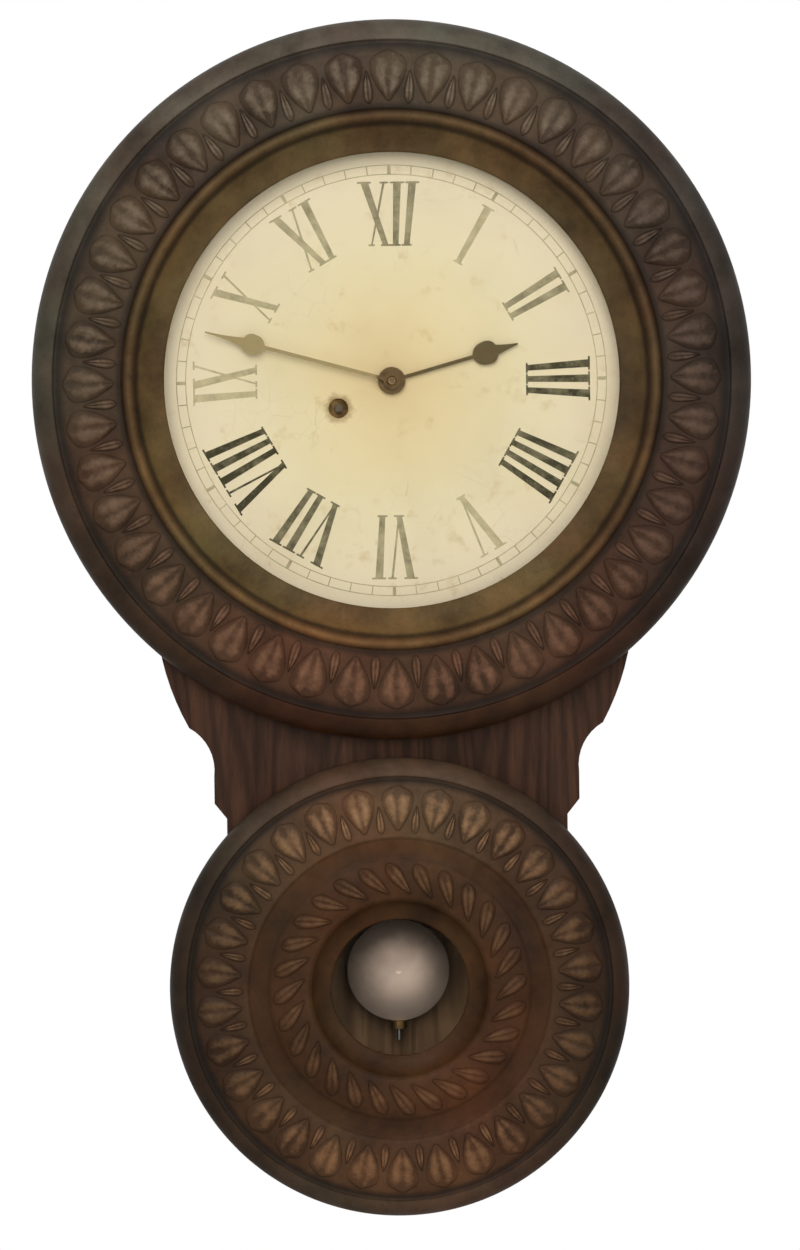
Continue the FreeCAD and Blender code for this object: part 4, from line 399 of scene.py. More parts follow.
COMPOSITION_SHINE = 0.09
BAND_NOISE = (60.0, 3.0)
BAND_STRAY = 1.5 * MM
# Painted shade towards the left and right sides, between these shares of a door's reach
FLANK_FROM = 0.3
FLANK_TO = 0.9
BLOTCH_NOISE = (24.0, 6.0, 0.66)
BLOTCHES = [(0.3, (0.46, 0.43, 0.4, 1)), (0.7, (1.5, 1.45, 1.38, 1))]
HUE_NOISE = (11.0, 3.0)
HUES = [(0.35, (1.1, 0.95, 0.88, 1)), (0.65, (0.92, 1.04, 1.0, 1))]
WEAR_NOISE = (150.0, 6.0, 0.7)
WEAR_RAGGED = 1.3
WEAR_RANGE = (0.55, 1.15)
WEAR_FADE = 8 * MM
WEAR_INSIDE = 0.4
GRAIN_NOISE = (420.0, 3.0, 0.6)
GRAIN_BUMP = (0.15 * MM, 0.6)
PIT_RANGE = (0.6, 0.78, 0.0, 0.4)
PIT_COLOUR = srgb(26, 19, 14)
# Grime and painted shade in the hollows that ambient occlusion finds
HOLLOW_REACH = 5 * MM
HOLLOW_SAMPLES = 6
HOLLOW_RANGE = (0.45, 0.9, 0.75, 0.0)
HOLLOW_SHADE_AND_GRIME = srgb(24, 17, 12)
CRACK_BEND = 0.025
CRACK_BEND_SCALE = 90.0
CRACK_SCALE = 190.0
CRACK_RANGE = (0.0, 0.03, 1.0, 0.0)
CRACK_PATCH_NOISE = (30.0, 3.0)
CRACK_PATCH_RANGE = (0.48, 0.62)
CRACK_STRENGTH = 0.45
CRACK_COLOUR = srgb(28, 20, 15)
CRACK_BUMP = (0.1 * MM, 0.5)
SHEEN_NOISE = (35.0, 4.0)
SHEEN_RANGE = (0.3, 0.7, 0.4, 0.62)
LUMP_NOISE = (70.0, 4.0)
LUMP_BUMP = (0.5 * MM, 0.5)


def composition_finish(name, z, reach, zones, crests, side_shade, worn_from):
    """Painted composition of a door: bands from the middle out, blotches, cracks, wear on the crests, and
    painted light and shade.

    A zone is (radius, colour at the foot, colour at the head), the two differing partly as painted light from
    above;
    crests are the worn colours at foot and head; side_shade is painted shade on its left and right side;
    worn_from is the radius from which the wear is strong.
    """
    material, tree, surface = new_finish(name, {"Specular IOR Level": COMPOSITION_SHINE})
    spot = placed(tree)
    parts = axis_parts(tree, z)
    radius = radius_of(tree, parts)
    stray = centred(tree, noise(tree, spot, *BAND_NOISE))
    share = spread(tree, calc(tree, "MULTIPLY_ADD", stray, BAND_STRAY, radius), 0.0, reach)
    # Colours run from the foot of the door to its head, partly as painted light from above
    lift = spread(tree, parts["Z"], -reach, reach)
    foot = ramp(tree, share, [(edge / reach, low) for edge, low, high in zones])
    head = ramp(tree, share, [(edge / reach, high) for edge, low, high in zones])
    # Painted shade: the left and right sides darkened by the side_shade tints
    left = spread(tree, parts["X"], -FLANK_TO * reach, -FLANK_FROM * reach, 1.0, 0.0)
    right = spread(tree, parts["X"], FLANK_FROM * reach, FLANK_TO * reach)
    shade = mixed(tree, right, mixed(tree, left, WHITE, side_shade[0]), side_shade[1])
    paint = tinted(tree, mixed(tree, lift, foot, head), shade)
    bare = tinted(tree, mixed(tree, lift, *crests), shade)
    paint = tinted(tree, paint, ramp(tree, noise(tree, spot, *BLOTCH_NOISE), BLOTCHES))
    paint = tinted(tree, paint, ramp(tree, noise(tree, spot, *HUE_NOISE), HUES))
    crest = node(tree, "Attribute", attribute_name="crest").outputs["Fac"]
    ragged = centred(tree, noise(tree, spot, *WEAR_NOISE))
    worn = spread(tree, calc(tree, "MULTIPLY_ADD", ragged, WEAR_RAGGED, crest), *WEAR_RANGE)
    outside = spread(tree, radius, worn_from - WEAR_FADE, worn_from, WEAR_INSIDE, 1.0)
    paint = mixed(tree, calc(tree, "MULTIPLY", worn, outside), paint, bare)
    grain = noise(tree, spot, *GRAIN_NOISE)
    paint = mixed(tree, spread(tree, grain, *PIT_RANGE), paint, PIT_COLOUR)
    # Grime and painted shade: hollows darkened by ambient occlusion
    openness = node(tree, "AmbientOcclusion", {"Distance": HOLLOW_REACH}, samples=HOLLOW_SAMPLES)
    hollow = spread(tree, openness.outputs["AO"], *HOLLOW_RANGE)
    paint = mixed(tree, hollow, paint, HOLLOW_SHADE_AND_GRIME)
    wander = node(tree, "TexNoise", {"Vector": spot, "Scale": CRACK_BEND_SCALE}).outputs["Color"]
    edges = cell_edges(tree, mixed(tree, CRACK_BEND, spot, wander, "LINEAR_LIGHT"), CRACK_SCALE)
    patchy = spread(tree, noise(tree, spot, *CRACK_PATCH_NOISE), *CRACK_PATCH_RANGE)
    crack = calc(tree, "MULTIPLY", spread(tree, edges, *CRACK_RANGE), patchy)
    paint = mixed(tree, calc(tree, "MULTIPLY", crack, CRACK_STRENGTH), paint, CRACK_COLOUR)
    sheen = spread(tree, noise(tree, spot, *SHEEN_NOISE), *SHEEN_RANGE)
    fine = bumped(tree, grain, *GRAIN_BUMP)
    lumps = bumped(tree, noise(tree, spot, *LUMP_NOISE), *LUMP_BUMP, fine)
    normal = bumped(tree, calc(tree, "SUBTRACT", 1.0, crack), *CRACK_BUMP, lumps)
    dress(tree, surface, colour=paint, roughness=sheen, normal=normal)
    return material


# Wood

WOOD_SHINE = 0.12
FIGURE_NOISE = (1.0, 6.0, 0.62, 0.6)
FIGURE_STOPS = (0.3, 0.52, 0.72)
PORE_NOISE = (6.0, 4.0, 0.7)
PORE_RANGE = (0.55, 0.75, 0.0, 0.6)
PORE_SHEEN = (0.3, 0.8, 0.55, 0.75)
PORE_BUMP = (0.08 * MM, 0.6)
RING_NOISE = (0.15, 1.5, 0.45, 0.4)
RING_COUNT = 170.0
RING_RANGE = (-0.1, 1.0, 0.0, 0.55)
LATE_WOOD_SHARE = 0.5
WOOD_GRIME_NOISE = (14.0, 4.0)
WOOD_GRIME_RANGE = (0.35, 0.7, 0.0, 0.5)
WOOD_GRIME = srgb(30, 20, 13)
FACE_RANGE = (0.5, 0.9)
EDGE_SHARE = 0.7


def wood_finish(name, dark, light, along, round_axis=None, edge=None):
    """Wood with its grain stretched along, or round an axis at a height; edge is the stain of its edges."""
    material, tree, surface = new_finish(name, {"Specular IOR Level": WOOD_SHINE})
    if round_axis is None:
        lengthwise = placed(tree, scale=along)
    else:
        parts = axis_parts(tree, round_axis)
        angle = calc(tree, "ARCTAN2", parts["X"], parts["Z"])
        bent = (angle, parts["Y"], radius_of(tree, parts))
        stretched = [calc(tree, "MULTIPLY", part, stretch) for part, stretch in zip(bent, along)]
        lengthwise = node(tree, "CombineXYZ", dict(zip("XYZ", stretched))).outputs["Vector"]
    figure = noise(tree, lengthwise, *FIGURE_NOISE)
    pores = noise(tree, lengthwise, *PORE_NOISE)
    growth = calc(tree, "MULTIPLY", noise(tree, lengthwise, *RING_NOISE), RING_COUNT)
    rings = spread(tree, calc(tree, "SINE", growth), *RING_RANGE)
    between = tuple((low + high) / 2 for low, high in zip(dark, light))
    late_wood = darker(dark, LATE_WOOD_SHARE)
    stain = ramp(tree, figure, list(zip(FIGURE_STOPS, (dark, between, light))))
    stain = mixed(tree, rings, stain, late_wood)
    stain = mixed(tree, spread(tree, pores, *PORE_RANGE), stain, late_wood)
    grime = spread(tree, noise(tree, placed(tree), *WOOD_GRIME_NOISE), *WOOD_GRIME_RANGE)
    stain = mixed(tree, grime, stain, WOOD_GRIME)
    if edge is not None:
        facing = node(tree, "SeparateXYZ", {"Vector": node(tree, "TexCoord").outputs["Normal"]})
        face = spread(tree, calc(tree, "ABSOLUTE", facing.outputs["Y"]), *FACE_RANGE)
        stain = mixed(tree, face, mixed(tree, figure, darker(edge, EDGE_SHARE), edge), stain)
    dress(tree, surface, colour=stain, roughness=spread(tree, pores, *PORE_SHEEN),
          normal=bumped(tree, pores, *PORE_BUMP))
    return material


# Brass and steel

TARNISH_NOISE = (90.0, 6.0, 0.65)
BRUSH_STRETCH = (500, 500, 3000)
BRUSH_NOISE = (1.0, 2.0)
BRUSH_STREAK = 0.12
BRUSH_BUMP = (0.01 * MM, 0.5)


def streaked(tree, patch, rough, lines, strength):
    """Roughness that follows a patch between two values, with fine lines in it."""
    streak = calc(tree, "MULTIPLY", centred(tree, lines), strength)
    return calc(tree, "ADD", spread(tree, patch, 0.0, 1.0, *rough), streak)


def metal_finish(name, bright, tarnish, rough, cover):
    """Old metal: bright where it is rubbed, with tarnish that gathers in patches."""
    material, tree, surface = new_finish(name, {"Metallic": 1.0})
    patch = spread(tree, noise(tree, placed(tree), *TARNISH_NOISE), *cover)
    brushed = noise(tree, placed(tree, scale=BRUSH_STRETCH), *BRUSH_NOISE)
    dress(tree, surface, colour=mixed(tree, patch, bright, tarnish),
          roughness=streaked(tree, patch, rough, brushed, BRUSH_STREAK),
          normal=bumped(tree, brushed, *BRUSH_BUMP))
    return material


# Metal of the bob

BOB_METALLIC = 0.55
# Painted highlight on the bob, right of and below its middle, fading to a darker, dull colour as painted
# shade
BOB_HIGHLIGHT_X = 5 * MM
BOB_HIGHLIGHT_DROP = 20 * MM
BOB_HIGHLIGHT_COLOUR = srgb(190, 168, 149)
BOB_DULL_AND_SHADED = srgb(110, 93, 79)
BOB_ROUGH = (0.38, 0.58)
FACE_ON = (1, 0, 1)
FILM_NOISE = (45.0, 5.0, 0.6)
HIGHLIGHT_STRAY = 30 * MM
HIGHLIGHT_FADE = (14 * MM, 46 * MM)
TURNING_SCALE = 1500.0
TURNING_DETAIL = 3.0
TURNING_STREAK = 0.2
TURNING_BUMP = (0.05 * MM, 0.8)


def bob_finish(name):
    """Spun brass gone grey with fine turning lines; a painted highlight right of and below the middle fades
    to painted shade towards the rim and the top, its edge broken by tarnish.
    """
    material, tree, surface = new_finish(name, {"Metallic": BOB_METALLIC})
    # Painted highlight fading into painted shade, its edge broken by tarnish patches
    from_highlight = length_of(tree, placed(tree, (-BOB_HIGHLIGHT_X, 0, BOB_HIGHLIGHT_DROP - BOB_Z), FACE_ON))
    patch = centred(tree, noise(tree, placed(tree), *FILM_NOISE))
    dull_and_shaded = spread(tree, calc(tree, "MULTIPLY_ADD", patch, HIGHLIGHT_STRAY, from_highlight), *HIGHLIGHT_FADE)
    radius = radius_of(tree, axis_parts(tree, BOB_Z))
    turning = {"W": radius, "Scale": TURNING_SCALE, "Detail": TURNING_DETAIL}
    lines = node(tree, "TexNoise", turning, noise_dimensions="1D").outputs["Fac"]
    dress(tree, surface, colour=mixed(tree, dull_and_shaded, BOB_HIGHLIGHT_COLOUR, BOB_DULL_AND_SHADED),
          roughness=streaked(tree, dull_and_shaded, BOB_ROUGH, lines, TURNING_STREAK),
          normal=bumped(tree, lines, *TURNING_BUMP))
    return material


# Paint and ink of the dial

DIAL_SHINE = 0.15
DIAL_REACH = 158 * MM
# Tones from the middle out; the last stop, near the rim, is made lighter as painted light against the door
# ring's shadow
DIAL_TONES = [
    (0.0, srgb(222, 195, 143)), (0.3, srgb(230, 212, 163)), (0.6, srgb(231, 218, 177)),
    (0.94, srgb(233, 217, 183)),
]
DIAL_SHEEN = (0.3, 0.7, 0.45, 0.6)
DIAL_FINE_NOISE = (900.0, 2.0)
DIAL_BUMP = (0.02 * MM, 0.4)
CLOUD_NOISE = (16.0, 5.0, 0.6)
CLOUD_STRAY = 60 * MM
FOX_NOISE = (70.0, 6.0, 0.7)
FOX_RANGE = (0.58, 0.74, 0.0, 0.5)
FOX_COLOUR = srgb(196, 164, 110)
DIAL_GRIME_NOISE = (9.0, 4.0)
DIAL_GRIME_RANGE = (0.5, 0.75, 0.0, 0.35)
DIAL_GRIME = srgb(214, 190, 138)
SCUFF_NOISE = (220.0, 5.0, 0.7)
SCUFF_STRAY = 9 * MM
SCUFF_RANGE = (6.5 * MM, 11 * MM, 0.75, 0.0)
SCUFF_COLOUR = srgb(150, 122, 74)
CRAZE_SCALE = 75.0
CRAZE_RANGE = (0.0, 0.012, 1.0, 0.0)
CRAZE_PATCH_RANGE = (0.5, 0.62, 0.0, 0.3)
CRAZE_COLOUR = srgb(150, 126, 84)
INK_SHINE = 0.2
INK_ROUGHNESS = 0.65
INK_NOISE = (110.0, 5.0, 0.65)
INK_UNEVEN = 0.9
INK_GONE = srgb(226, 211, 164)
INK_FULL = srgb(58, 53, 27)


def dial_finish(name):
    """Aged cream paint on zinc: warm stain round the middle, painted light near the rim, foxing, cracks, and
    a scuffed winding hole.
    """
    material, tree, surface = new_finish(name, {"Specular IOR Level": DIAL_SHINE})
    spot = placed(tree)
    radius = radius_of(tree, axis_parts(tree, DIAL_Z))
    cloud = noise(tree, spot, *CLOUD_NOISE)
    strayed = calc(tree, "MULTIPLY_ADD", centred(tree, cloud), CLOUD_STRAY, radius)
    paint = ramp(tree, spread(tree, strayed, 0.0, DIAL_REACH), DIAL_TONES)
    fox = spread(tree, noise(tree, spot, *FOX_NOISE), *FOX_RANGE)
    paint = mixed(tree, fox, paint, FOX_COLOUR)
    grime = spread(tree, noise(tree, spot, *DIAL_GRIME_NOISE), *DIAL_GRIME_RANGE)
    paint = mixed(tree, grime, paint, DIAL_GRIME)
    from_hole = length_of(tree, placed(tree, shift=(-WINDING_X, DIAL_FRONT, -WINDING_Z)))
    ragged = centred(tree, noise(tree, spot, *SCUFF_NOISE))
    scuffed = spread(tree, calc(tree, "MULTIPLY_ADD", ragged, SCUFF_STRAY, from_hole), *SCUFF_RANGE)
    paint = mixed(tree, scuffed, paint, SCUFF_COLOUR)
    craze = spread(tree, cell_edges(tree, spot, CRAZE_SCALE), *CRAZE_RANGE)
    split = calc(tree, "MULTIPLY", craze, spread(tree, cloud, *CRAZE_PATCH_RANGE))
    paint = mixed(tree, split, paint, CRAZE_COLOUR)
    dress(tree, surface, colour=paint, roughness=spread(tree, cloud, *DIAL_SHEEN),
          normal=bumped(tree, noise(tree, spot, *DIAL_FINE_NOISE), *DIAL_BUMP))
    return material


def ink_finish(name):
    """Printed ink that has faded unevenly; the attribute says how much of it is left."""
    material, tree, surface = new_finish(name, {"Specular IOR Level": INK_SHINE, "Roughness": INK_ROUGHNESS})
    left = node(tree, "Attribute", attribute_name="ink").outputs["Fac"]
    patch = centred(tree, noise(tree, placed(tree), *INK_NOISE))
    keep = spread(tree, calc(tree, "MULTIPLY_ADD", patch, INK_UNEVEN, left), 0.0, 1.0)
    dress(tree, surface, colour=mixed(tree, keep, INK_GONE, INK_FULL))
    return material


# Glass and hands

GLASS_ROUGHNESS = 0.05
GLASS_SLANT = 0.35
GLASS_VEIL = (0.0, 1.0, 0.02, 0.16)
SMEAR_NOISE = (24.0, 5.0, 0.6)
SMEAR_RANGE = (0.45, 0.8, 0.0, 0.02)
HAND_METALLIC = 0.2
HAND_SHINE = 0.2
HAND_ROUGH = (0.4, 0.75)
RUST_NOISE = (160.0, 5.0, 0.7)
RUST_RANGE = (0.5, 0.7)
RUST_BUMP = (0.05 * MM, 0.5)
BOSS_COLOUR = srgb(92, 70, 34)
BOSS_RUST = srgb(66, 49, 25)
BOSS_RANGE = (9 * MM, 12 * MM)


def glass_finish(name, tint):
    """Clear pane: it lets the light straight through and shines more at a slant."""
    material, tree, surface = new_finish(name, {"Base Color": tint, "Roughness": GLASS_ROUGHNESS})
    slant = node(tree, "LayerWeight", {"Blend": GLASS_SLANT}).outputs["Facing"]
    smear = spread(tree, noise(tree, placed(tree), *SMEAR_NOISE), *SMEAR_RANGE)
    dress(tree, surface, alpha=calc(tree, "ADD", spread(tree, slant, *GLASS_VEIL), smear))
    return material


def hand_finish(name, steel, rusty):
    """Blued steel gone brown, with rust, and a brassy boss."""
    material, tree, surface = new_finish(name, {"Metallic": HAND_METALLIC, "Specular IOR Level": HAND_SHINE})
    rust = spread(tree, noise(tree, placed(tree), *RUST_NOISE), *RUST_RANGE)
    blade = mixed(tree, rust, steel, rusty)
    boss = mixed(tree, rust, BOSS_COLOUR, BOSS_RUST)
    outside = spread(tree, radius_of(tree, axis_parts(tree, DIAL_Z)), *BOSS_RANGE)
    dress(tree, surface, colour=mixed(tree, outside, boss, blade),
          roughness=spread(tree, rust, 0.0, 1.0, *HAND_ROUGH),
          normal=bumped(tree, rust, *RUST_BUMP))
    return material


# Finish of each part

# The head colours differ from the foot partly as painted light from above: the rim's top lighter, the inner
# bevel's top darker. The darkest stops, in the creases between mouldings, are painted shade.
UPPER_ZONES = [
    (148 * MM, srgb(92, 73, 44), srgb(72, 60, 37)),
    (164 * MM, srgb(97, 76, 46), srgb(78, 65, 42)),
    (166.5 * MM, srgb(42, 31, 19), srgb(34, 27, 18)),
    (169 * MM, srgb(84, 60, 36), srgb(64, 51, 32)),
    (171.5 * MM, srgb(106, 78, 47), srgb(82, 67, 43)),
    (174 * MM, srgb(80, 56, 34), srgb(60, 48, 31)),
    (177 * MM, srgb(40, 27, 18), srgb(34, 28, 21)),
    (181 * MM, srgb(76, 50, 36), srgb(68, 58, 45)),
    (212 * MM, srgb(72, 47, 34), srgb(70, 60, 49)),
    (218 * MM, srgb(30, 19, 12), srgb(34, 29, 25)),
    (222 * MM, srgb(54, 29, 12), srgb(84, 77, 69)),
    (235 * MM, srgb(46, 26, 12), srgb(76, 70, 63)),
]
UPPER_CRESTS = (srgb(120, 82, 60), srgb(114, 101, 84))
# Painted shade on the upper door's sides, the right side darker, away from a light at the upper left
UPPER_SIDE_SHADE = ((0.82, 0.9, 0.88, 1), (0.53, 0.53, 0.59, 1))
UPPER_WORN_FROM = 160 * MM
# The darkest stops, in the creases between mouldings, are painted shade.
LOWER_ZONES = [
    (45 * MM, srgb(58, 37, 19), srgb(58, 36, 17)),
    (57 * MM, srgb(60, 39, 21), srgb(60, 38, 19)),
    (60 * MM, srgb(68, 43, 25), srgb(64, 39, 20)),
    (83 * MM, srgb(70, 44, 26), srgb(64, 40, 21)),
    (86 * MM, srgb(58, 35, 18), srgb(60, 39, 21)),
    (97 * MM, srgb(66, 40, 21), srgb(70, 47, 28)),
    (100 * MM, srgb(76, 51, 34), srgb(78, 58, 41)),
    (133 * MM, srgb(74, 50, 33), srgb(76, 57, 41)),
    (137 * MM, srgb(32, 21, 13), srgb(34, 25, 17)),
    (141 * MM, srgb(69, 53, 41), srgb(73, 57, 45)),
    (151 * MM, srgb(63, 47, 36), srgb(69, 55, 44)),
]
LOWER_CRESTS = (srgb(124, 87, 58), srgb(148, 113, 80))
# Painted shade on the lower door's left and right sides
LOWER_SIDE_SHADE = ((0.35, 0.38, 0.37, 1), (0.34, 0.32, 0.29, 1))
LOWER_WORN_FROM = 98 * MM
DARK_WOOD = srgb(43, 26, 16)
WARM_WOOD = srgb(86, 56, 39)
PINE = (srgb(124, 93, 64), srgb(166, 130, 93))
BLOCK_WOOD = (srgb(112, 80, 51), srgb(150, 112, 74))
BEAD_PAINT = (srgb(34, 25, 20), srgb(56, 42, 32))
BOARD_GRAIN = (90, 90, 9)
HOOP_GRAIN = (2, 90, 90)
PINE_GRAIN = (70, 70, 5)
BLOCK_GRAIN = (120, 120, 12)
BEAD_GRAIN = (60, 60, 60)
BRASS_COVER = (0.38, 0.66)
STEEL_COVER = (0.4, 0.7)
AGED_BRASS = (srgb(176, 142, 82), srgb(112, 86, 50), (0.32, 0.52), BRASS_COVER)
DARK_BRASS = (srgb(128, 100, 58), srgb(88, 66, 40), (0.4, 0.58), BRASS_COVER)
DULL_STEEL = (srgb(138, 134, 128), srgb(86, 78, 70), (0.38, 0.6), STEEL_COVER)
DARK_STEEL = (srgb(92, 82, 68), srgb(60, 50, 40), (0.42, 0.62), STEEL_COVER)
HAND_STEEL = (srgb(80, 67, 32), srgb(100, 77, 38))
WORN_HAND_STEEL = (srgb(142, 126, 84), srgb(160, 134, 88))
GLASS_TINT = srgb(46, 42, 34)

upper_paint = composition_finish("upper_door_paint", DIAL_Z, UPPER_RIM, UPPER_ZONES, UPPER_CRESTS,
                                 UPPER_SIDE_SHADE, UPPER_WORN_FROM)
lower_paint = composition_finish("lower_door_paint", LOWER_Z, LOWER_RIM, LOWER_ZONES, LOWER_CRESTS,
                                 LOWER_SIDE_SHADE, LOWER_WORN_FROM)
board_wood = wood_finish("case_board_wood", DARK_WOOD, WARM_WOOD, BOARD_GRAIN)
upper_hoop_wood = wood_finish("upper_hoop_wood", DARK_WOOD, WARM_WOOD, HOOP_GRAIN, DIAL_Z)
lower_hoop_wood = wood_finish("lower_hoop_wood", DARK_WOOD, WARM_WOOD, HOOP_GRAIN, LOWER_Z)
back_pine = wood_finish("back_board_pine", *PINE, PINE_GRAIN, edge=WARM_WOOD)
block_wood = wood_finish("movement_block_wood", *BLOCK_WOOD, BLOCK_GRAIN)
bead_paint = wood_finish("glass_bead_paint", *BEAD_PAINT, BEAD_GRAIN)
aged_brass = metal_finish("aged_brass", *AGED_BRASS)
bob_brass = bob_finish("bob_metal")
dull_steel = metal_finish("dull_steel", *DULL_STEEL)
dark_steel = metal_finish("dark_steel", *DARK_STEEL)
dark_brass = metal_finish("dark_brass", *DARK_BRASS)
hand_steel = hand_finish("hand_steel", *HAND_STEEL)
worn_steel = hand_finish("worn_hand_steel", *WORN_HAND_STEEL)
dial_cream = dial_finish("dial_cream")
numeral_ink = ink_finish("numeral_ink")
pane_glass = glass_finish("pane_glass", GLASS_TINT)

SLOT_FINISH = {
    "wood": board_wood,
    "composition": upper_paint,
    "glass": pane_glass,
    "bead": bead_paint,
    "dial_paint": dial_cream,
    "blued_steel": hand_steel,
    "brass": aged_brass,
    "steel": dull_steel,
}
NODE_FINISH = {
    "upper_hoop": upper_hoop_wood,
    "lower_hoop": lower_hoop_wood,
    "movement_blocks": block_wood,
    "case_back": back_pine,
    "pendulum_bob": bob_brass,
    "minute_hand": worn_steel,
    "minute_arbor": dark_steel,
    "winding_arbor": dark_steel,
    "lower_door_ring": lower_paint,
}
DARK_BRASS_NODES = (
    "hand_nut", "rating_nut", "front_plate", "upper_hook", "lower_hook", "upper_keeper", "lower_keeper",
    "upper_hinge_case_leaves", "upper_hinge_door_leaves", "lower_hinge_case_leaves",
    "lower_hinge_door_leaves",
)
NODE_FINISH.update(dict.fromkeys(DARK_BRASS_NODES, dark_brass))


def finish_packed_nodes():
    """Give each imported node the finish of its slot, or its own."""
    for row in frame["record"]["subparts"]:
        name = row["node"]
        finish = NODE_FINISH.get(name, SLOT_FINISH[row["material_slot"]])
        mesh = NODES[name].data
        mesh.materials.clear()
        mesh.materials.append(finish)


finish_packed_nodes()


# Moulded doors

# A section, in millimetres, goes from the back of the rim over the front and home along the hollow back
UPPER_SECTION = [
    (235, 76.5), (235, 84.5), (221, 99.5, 16, 1), (220, 97.5), (217, 97.5), (176.5, 102.5, 220, 1),
    (175.5, 101.5), (167.5, 101.5, 4.4, 1), (166.5, 100.5), (149.5, 92.0, 24, -1), (148.5, 91.4),
    (148.5, 89.5), (156.4, 89.5), (156.4, 79.5), (163.4, 79.5), (163.4, 91.5), (178.5, 94.5), (211, 90.0),
    (219, 84.5), (219, 76.5),
]
LOWER_SECTION = [
    (151, 76.5), (151, 83.5), (140, 94.5, 13, 1), (139, 93), (136, 93), (100, 95, 150, 1), (98, 93),
    (87, 93), (85, 94), (60, 95, 60, 1), (58, 93.5), (46, 85, 16, -1), (45, 84.4), (45, 82.5), (50.9, 82.5),
    (50.9, 77.0), (57.9, 77.0), (57.9, 84.0), (68, 87), (128, 87), (137, 83.5), (137, 76.5),
]
UPPER_SOFT_EDGE = 0.35 * MM
LOWER_SOFT_EDGE = 0.3 * MM


def in_metres(section):
    """Section in metres; an arc's round is a length too, and its bend is a sign."""
    return [(*[value * MM for value in step[:3]], *step[3:]) for step in section]


upper_moulding = turned("upper_door_moulding", in_metres(UPPER_SECTION), DIAL_Z, UPPER_SOFT_EDGE)
carried(upper_moulding, "upper_door", "composition", upper_paint, "upper_door_ring")
lower_moulding = turned("lower_door_moulding", in_metres(LOWER_SECTION), LOWER_Z, LOWER_SOFT_EDGE)
carried(lower_moulding, "lower_door", "composition", lower_paint, "lower_door_ring")


# Wooden case

BOARD_DOUBLED = 0.002 * MM
EASED_EDGE = 0.7 * MM
SHARP_EDGE = math.radians(32)
FLAT_JOIN = math.radians(0.4)


def eased(name, packed_node, finish):
    """Copy of a packed wooden piece with its arrises taken off."""
    start_clean()
    board = bpy.data.objects.new(name, NODES[packed_node].data.copy())
    bpy.context.scene.collection.objects.link(board)
    edit(board)
    pick_all()
    bpy.ops.mesh.remove_doubles(threshold=BOARD_DOUBLED)
    bpy.ops.mesh.customdata_custom_splitnormals_clear()
    bpy.ops.mesh.dissolve_limited(angle_limit=FLAT_JOIN)
    bpy.ops.mesh.select_all(action="DESELECT")
    bpy.ops.mesh.select_mode(type="EDGE")
    bpy.ops.mesh.edges_select_sharp(sharpness=SHARP_EDGE)
    bpy.ops.mesh.bevel(offset=EASED_EDGE, segments=SOFT_SEGMENTS, clamp_overlap=True)
    leave()
    smooth(board)
    carried(board, "case", "wood", finish, packed_node)


eased("back_board", "case_back", back_pine)
eased("front_board", "case_front", board_wood)
eased("upper_bent_hoop", "upper_hoop", upper_hoop_wood)
eased("lower_bent_hoop", "lower_hoop", lower_hoop_wood)
eased("left_shoulder", "waist_left", board_wood)
eased("right_shoulder", "waist_right", board_wood)


# Screws

TOWARDS_ROOM = Vector((0, -1, 0))
TOWARDS_WALL = Vector((0, 1, 0))
TOWARDS_RIGHT = Vector((1, 0, 0))
SCREW_SIDES = 32
SCREW_SMOOTH_ANGLE = 30
# Crown and slot are shares of the head's height and radius
CROWN = 1.22
CROWN_STEPS = (0.6, 0.4)
CROWN_INSET = 0.24
SLOT_LENGTH = 3
SLOT_WIDTH = 0.26
FIRST_SLOT_TURN = 0.4
NEXT_SLOT_TURN = 1.9
HOOK_SCREW_AIR = 0.3 * MM


def slotted_screw(name, radius, height, shank, length):
    """Screw with a crowned and slotted head: its seat is at the origin and its head towards +Z."""
    start_clean()
    bpy.ops.mesh.primitive_cylinder_add(vertices=SCREW_SIDES, radius=radius, depth=height,
                                        location=(0, 0, height / 2))
    screw = bpy.context.object
    screw.name = name
    settle(screw)
    edit(screw, "FACE")
    pick(screw, lambda spot: spot.z < NEAR, "polygons")
    bpy.ops.mesh.inset(thickness=radius - shank)
    extrude((0, 0, -length))
    pick(screw, lambda spot: spot.z > height - NEAR, "polygons")
    for share in CROWN_STEPS:
        bpy.ops.mesh.inset(thickness=CROWN_INSET * radius)
        bpy.ops.transform.translate(value=(0, 0, height * (CROWN - 1) * share))
    leave()
    start_clean()
    bpy.ops.mesh.primitive_cube_add(size=1, location=(0, 0, height * CROWN))
    cutter = bpy.context.object
    cutter.scale = (SLOT_LENGTH * radius, SLOT_WIDTH * radius, height)
    settle(cutter)
    apply_modifier(screw, "BOOLEAN", object=cutter, operation="DIFFERENCE", solver="EXACT")
    discard(cutter)
    return screw


def screws(name, pattern, spots, normal, body, finish, *stands_for):
    """Screws driven at some spots, each with its slot at another angle, as one piece."""
    facing = normal.to_track_quat("Z", "Y").to_matrix().to_4x4()
    driven = []
    for number, spot in enumerate(spots):
        turn = Matrix.Rotation(FIRST_SLOT_TURN + NEXT_SLOT_TURN * number, 4, "Z")
        driven.append(copy_of(pattern, Matrix.Translation(spot) @ facing @ turn))
    discard(pattern)
    made = joined(driven, name)
    settle(made)
    smooth(made, SCREW_SMOOTH_ANGLE)
    carried(made, body, "steel", finish, *stands_for)


def corner_spots(packed_node, radius, depth):
    """Places of four screws whose heads fill the corners of a node's box."""
    low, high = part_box(packed_node)
    sides = (low.x + radius, high.x - radius)
    heights = (low.z + radius, high.z - radius)
    return [Vector((x, -depth, z)) for x in sides for z in heights]


